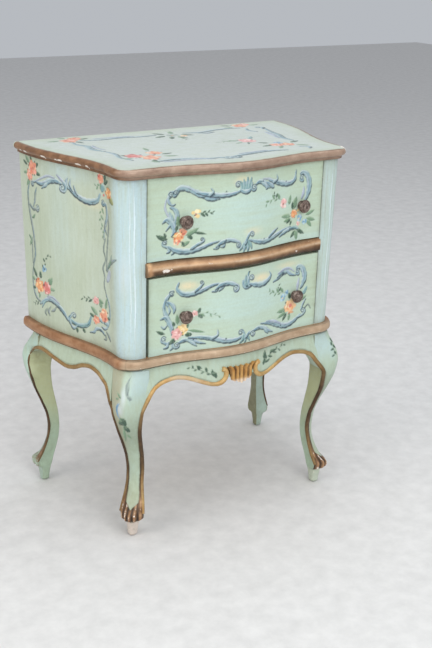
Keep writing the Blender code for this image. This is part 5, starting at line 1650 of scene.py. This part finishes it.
def make_front_apron(material):
    """Front apron: a shaped board that swells out towards its lower edge and runs into the legs."""
    xs = np.linspace(-APRON_REACH_X, APRON_REACH_X, 119)
    rows = []
    for t in np.linspace(0, 1, 15):
        rows.append([(x, face_y(x) - front_reach(x, t), APRON_TOP - t * front_drop(x)) for x in xs])
    for t in (1.0, 0.0):
        rows.append([(x, face_y(x) + APRON_THICK, APRON_TOP - t * front_drop(x)) for x in xs])
    piece, spots = skin(rows, closed=True, cuts=1)
    work = Paintwork(MM * spots[:, 0], MM * (spots[:, 2] - LEG_HEIGHT), np.ones(len(spots), dtype=bool))
    apron_ornament(work)
    work.finish(piece)
    apron_age(piece, spots, [front_drop(x) for x in spots[:, 0]], 0.5)
    close_piece(piece, "painted_front_apron", "carcass", material, ["front_apron"], 55)


def make_side_apron(side, word, material):
    """Side apron between a front and a rear leg, its arch cut into the rear one."""
    ys = np.linspace(SIDE_APRON_FRONT_Y, SIDE_APRON_BACK_Y, 76)
    rows = []
    for t in np.linspace(0, 1, 11):
        rows.append([(side * (side_x(y) + side_reach(t)), y, APRON_TOP - t * side_drop(y)) for y in ys])
    for t in (1.0, 0.0):
        rows.append([(side * (side_x(y) - APRON_THICK), y, APRON_TOP - t * side_drop(y)) for y in ys])
    piece, spots = skin(rows, closed=True, cuts=1)
    apron_age(piece, spots, [side_drop(y) for y in spots[:, 1]], 0.35)
    name = "painted_" + word + "_apron"
    close_piece(piece, name, "carcass", material, [word + "_apron"], 55)


# Heights up the legs where the beads start, and where they leave a front and a rear leg.
BEAD_FOOT = 0.145
BEAD_FRONT_KNEE = 0.775
BEAD_REAR_KNEE = 0.855
BEAD_REACH = 0.2872
BEAD_STEPS = 170
# How far the beads lie inside the aprons' faces and above their lower edges.
BEAD_INSET = 0.0012
BEAD_RISE = 0.0022
# Heights above the floor, then the beads' radius and how light their gilding is there.
BEAD_RADII = ((0.03, 0.08, 0.2, 0.28), (0.0026, 0.0034, 0.0038, 0.0042))
BEAD_LIGHTS = ((0.03, 0.07, 0.11, 0.14, 0.2, 0.245, 0.285), (0.6, 0.7, 0.45, 0.1, 0.05, 0.3, 1.0))
# Distance from the middle and drop of the front beads' ends, which turn up beside the shell.
BEAD_HOOK = ((0.0414, 0.0468), (0.0345, 0.0410), (0.0318, 0.0335), (0.0322, 0.0262), (0.0352, 0.0222),
             (0.0398, 0.0212))


def tube(name, keys, material, shine):
    """A round gilt bead along a smooth line through the keys: light on the aprons, dark down the legs."""
    line = spaced(smooth_line(MM * np.asarray(keys)), BEAD_STEPS) / MM
    line[:, 0] = np.clip(line[:, 0], -BEAD_REACH, BEAD_REACH)
    open_piece()
    draw(line.tolist())
    bpy.ops.object.mode_set(mode="OBJECT")
    bpy.ops.object.convert(target="CURVE")
    piece = bpy.context.object
    piece.data.bevel_depth = 1.0
    piece.data.bevel_resolution = 3
    piece.data.use_fill_caps = True
    for point in piece.data.splines[0].points:
        x, y, z = point.co[:3]
        radius = float(np.interp(z, *BEAD_RADII)) * (1 - 0.5 * float(smooth_step(0.10, 0.14, y)))
        point.radius = radius * (1.12 if abs(x) < 0.05 else 1.0)
    bpy.ops.object.convert(target="MESH")
    piece = bpy.context.object
    spots = points_of(piece)
    # Lighter on the front beads than the side ones, darker towards the back and on the right: painted light
    # and shade; a painted highlight on the left arch's top.
    light = np.interp(spots[:, 2], *BEAD_LIGHTS)
    light = light * shine * (1 - 0.5 * smooth_step(0.10, 0.14, spots[:, 1]))
    light = light * (1 - 0.4 * smooth_step(0.05, 0.12, spots[:, 0]))
    arch = np.exp(-((spots[:, 0] + 0.105) / 0.038) ** 4) * (spots[:, 1] < -0.12)
    store_age(piece, 0.3, 0.2, 0.6 * arch, light)
    close_piece(piece, name, "carcass", material)


def corner_line(leg, sign, low, high, count):
    """The lateral corner of a leg from low to high up the leg, a little inside it."""
    line = []
    for height in np.linspace(low, high, count):
        lean, _, corner, half, _, _, _ = smooth_table(LEG_TABLE, height)
        x, y, z = on_leg(leg, lean, corner - 0.02, (half - 0.03) * sign, height)
        side_share = sign * (1 if FEET[leg][0] < 0 else -1)
        line.append((x, y + arch_cut(leg, side_share, height), z))
    return line


def make_front_beads(material):
    """Gilt beads from each front foot up the leg and along the apron, up beside the shell."""
    for leg, sign, side, word in (("front_left", 1, -1, "left"), ("front_right", -1, 1, "right")):
        line = corner_line(leg, sign, BEAD_FOOT, BEAD_FRONT_KNEE, 24)
        for x in np.linspace(0.184, 0.048, 24):
            y = face_y(x) - front_reach(x, 1.0) + BEAD_INSET
            line.append((side * x, y, APRON_TOP - front_drop(x) + BEAD_RISE))
        for x, drop in BEAD_HOOK:
            line.append((side * x, face_y(x) - front_reach(x, 0.8) - 0.0004, APRON_TOP - drop))
        tube("gilt_front_" + word + "_bead", line, material, 1.0)


def make_side_beads(material, side, word):
    """Gilt bead from the front foot along the side apron to the rear foot."""
    front_sign, rear_sign = (-1, 1) if side < 0 else (1, -1)
    line = corner_line("front_" + word, front_sign, BEAD_FOOT, BEAD_FRONT_KNEE, 24)
    for y in np.linspace(SIDE_APRON_FRONT_Y + 0.003, SIDE_APRON_BACK_Y - 0.003, 34):
        x = side_x(y) + side_reach(1.0) - BEAD_INSET
        line.append((side * x, y, APRON_TOP - side_drop(y) + BEAD_RISE))
    line += corner_line("rear_" + word, rear_sign, BEAD_FOOT, BEAD_REAR_KNEE, 28)[::-1]
    tube("gilt_" + word + "_bead", line, material, 0.5)


SHELL_FLUTES = 5
SHELL_DROP = 0.0185
SHELL_HEIGHT = 0.0290
# Share of the way from the crown to the lip, then the half width there.
SHELL_HALVES = ((0, 0.1, 0.25, 0.6, 0.88, 1.0), (0.0315, 0.0280, 0.0245, 0.0240, 0.0235, 0.0205))


def shell_half(t):
    """Half width of the shell from its flared crown at t = 0 to its lip at 1."""
    return np.interp(t, *SHELL_HALVES)


def shell_ridge(s):
    """Uneven upright flutes: 1 on a ridge, 0 in a groove."""
    return 0.5 + 0.5 * np.cos(SHELL_FLUTES * math.pi * (s + 0.05 * np.sin(3 * s + 1)))


def make_shell(material):
    """Carved fan on the front apron: upright flutes under a flared crown, over a scalloped lip."""
    back = face_y(0.0) - front_reach(0.0, 0.0) - GAP
    top = LEG_HEIGHT - SHELL_DROP
    rows = []
    for t in np.linspace(0, 1, 25):
        half = float(shell_half(t))
        crown = 1 - float(smooth_step(0, 0.16, t))
        lip = float(smooth_step(0.66, 0.84, t))
        row = []
        for s in np.linspace(-1, 1, 91):
            ridge = float(shell_ridge(s))
            dome = 0.0036 * math.sqrt(max(1 - (0.97 * s) ** 2, 0))
            out = dome + 0.0027 * ridge * (1 - 0.6 * lip) + 0.0010 * max(crown, lip)
            scallop = 0.0048 * math.exp(-(s / 0.4) ** 2) + 0.0016 * ridge - 0.0012 * s * s
            drop = SHELL_HEIGHT * t + 0.0024 * (1 - ridge) * (1 - t) ** 2 + t * scallop
            row.append((half * s, back - 0.0010 - out, top - drop + 0.003 * crown * s**4))
        rows.append(row)
    rows.append([(0.96 * x, back, z + 0.0008) for x, _, z in rows[-1]])
    rows.append([(0.96 * x, back, z - 0.0008) for x, _, z in rows[0]])
    piece, spots = skin(rows, closed=True)
    depth = np.clip((top - spots[:, 2]) / 0.0325, 0, 1)
    groove = (1 - shell_ridge(spots[:, 0] / shell_half(depth))) ** 1.4
    lip = smooth_step(0.72, 0.92, depth)
    # Dark in the grooves: painted shade with some grime; the lip paler and chipped, a painted highlight on
    # its ridges.
    store_age(piece, 0.95 * groove * (1 - 0.5 * lip), 0.3 * lip, 0.35 * lip * (1 - groove), lip)
    close_piece(piece, "carved_apron_shell", "carcass", material, ["apron_shell"], 60)


def dress_nodes(materials):
    """Gives the CAD nodes that stay in view their own finish."""
    for name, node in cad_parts.items():
        for words, material in materials:
            if any(word in name for word in words):
                for slot in node.material_slots:
                    slot.material = material
                break


FLOOR_SIZE = 14
LAMP_TARGET = (0, 0, 0.4)
# Name, place, size, power and colour.
LAMPS = [
    ("sky_box", (0.2, -0.3, 3.2), 3.2, 55, (0.95, 0.98, 1.0)),
    ("front_box", (-0.4, -3.2, 2.0), 2.4, 60, (0.98, 1.0, 1.0)),
    ("side_box", (-3.2, -0.4, 1.8), 2.2, 42, (1.0, 0.97, 0.90)),
]
# Yaw, pitch and roll in degrees, place in metres and focal length in millimetres.
CAMERA_TURN = (33.10, 19.94, 1.64)
CAMERA_PLACE = (-1.0451, -1.6757, 1.0504)
CAMERA_LENS = 60.464


def make_lamp(name, place, size, power, colour):
    bpy.ops.object.light_add(type="AREA", location=place)
    lamp = bpy.context.object
    lamp.name = name
    lamp.data.size = size
    lamp.data.energy = power
    lamp.data.color = colour
    direction = Vector(LAMP_TARGET) - lamp.location
    lamp.rotation_euler = direction.to_track_quat("-Z", "Y").to_euler()


def make_stage():
    """A pale plain floor under soft daylight."""
    bpy.ops.object.select_all(action="DESELECT")
    bpy.ops.mesh.primitive_plane_add(size=FLOOR_SIZE, location=(0, 0, 0))
    floor = bpy.context.object
    floor.name = "studio_floor"
    material, tree, shader = new_material("pale_floor")
    specks = noise(tree, EVEN, 30, 5, 0.6)
    stops = stops_of((0.3, 0.7), (206, 204, 202), (220, 218, 216))
    feed(tree, shader, {"Base Color": ramp(tree, specks, stops), "Roughness": 0.75})
    floor.data.materials.append(material)
    world = bpy.data.worlds.new("studio")
    world.use_nodes = True
    sky = {"Color": (0.86, 0.90, 0.96, 1.0), "Strength": 0.55}
    feed(world.node_tree, world.node_tree.nodes["Background"], sky)
    bpy.context.scene.world = world
    each(make_lamp, LAMPS)
    bpy.context.scene.view_settings.view_transform = "Standard"


def make_camera():
    """The camera at the photograph's viewing angle."""
    yaw, pitch, roll = (math.radians(angle) for angle in CAMERA_TURN)
    ahead = Vector((math.sin(yaw) * math.cos(pitch), math.cos(yaw) * math.cos(pitch), -math.sin(pitch)))
    right = Vector((math.cos(yaw), -math.sin(yaw), 0))
    up = right.cross(ahead)
    rolled_right = math.cos(roll) * right + math.sin(roll) * up
    rolled_up = -math.sin(roll) * right + math.cos(roll) * up
    bpy.ops.object.camera_add(location=CAMERA_PLACE)
    camera = bpy.context.object
    camera.name = "photo_camera"
    turn = Matrix((rolled_right, rolled_up, -ahead)).transposed()
    camera.rotation_euler = turn.to_euler()
    camera.data.sensor_width = 36
    camera.data.lens = CAMERA_LENS
    bpy.context.scene.camera = camera


DRAWER_PAINT = painted_wood("drawer_paint", ((180, 192, 164), (188, 206, 184), (192, 212, 198)),
                            (1, 1, 9), (190, 214, 208))
SIDE_PAINT = painted_wood("side_paint", ((174, 185, 160), (188, 198, 177), (197, 208, 193)),
                          (9, 9, 1), (186, 210, 218))
LEG_PAINT = painted_wood("leg_paint", ((160, 168, 136), (178, 188, 162), (190, 204, 184)),
                         (9, 9, 2), (176, 200, 188), ("dark", "bronze"))
TOP_PAINT = painted_wood("top_paint", ((176, 186, 164), (190, 200, 180), (200, 208, 194)),
                         (2, 9, 1), (200, 207, 206), ("warm", "faded"), 0.3)
MOULD_GILT = gilt_wood("moulding_gilt", ("umber", "rose"), (1, 1, 5))
BEAD_GILT = gilt_wood("bead_gilt", ("dusk", "bronze"), (1, 1, 6))
EDGE_GILT = gilt_wood("edge_gilt", ("dark", "straw"), (3, 3, 3))
SHELL_GILT = gilt_wood("shell_gilt", ("ochre", "cream"), (4, 4, 1))
KNOB_BRONZE = bronze_knob()
STEEL = screw_steel()
BOX_WOOD = bare_wood("drawer_box_wood", rgba(150, 112, 72), rgba(206, 172, 124), (6, 1, 6), 14)
CASE_WOOD = bare_wood("case_wood", rgba(132, 98, 64), rgba(188, 152, 108), (1, 6, 6), 12)
BACK_WOOD = bare_wood("back_wood", rgba(126, 92, 60), rgba(178, 140, 98), (6, 6, 1), 10)

make_drawer_front("upper_drawer", DRAWER_PAINT, upper_drawer_ornament)
make_drawer_front("lower_drawer", DRAWER_PAINT, lower_drawer_ornament)
for drawer in DRAWER_LOW:
    for word in KNOB_PLACES[drawer]:
        make_knob(drawer, word, KNOB_BRONZE)
for side, word in ((-1, "left"), (1, "right")):
    make_wall(side, word, SIDE_PAINT)
    make_side_apron(side, word, LEG_PAINT)
    make_side_beads(EDGE_GILT, side, word)
make_top(TOP_PAINT)
make_moulding(MOULD_GILT)
make_bead(BEAD_GILT)
make_front_apron(LEG_PAINT)
make_front_beads(EDGE_GILT)
make_shell(SHELL_GILT)
legs = {leg: make_leg(leg) for leg in ("front_left", "rear_left")}
for end in ("front", "rear"):
    legs[end + "_right"] = copy_leg(legs[end + "_left"])
for leg, piece in legs.items():
    finish_leg(piece, leg, LEG_PAINT)

dress_nodes([
    (("screw",), STEEL),
    (("knob",), KNOB_BRONZE),
    (("drawer",), BOX_WOOD),
    (("back", "stile"), BACK_WOOD),
    (("",), CASE_WOOD),
])

make_stage()
make_camera()
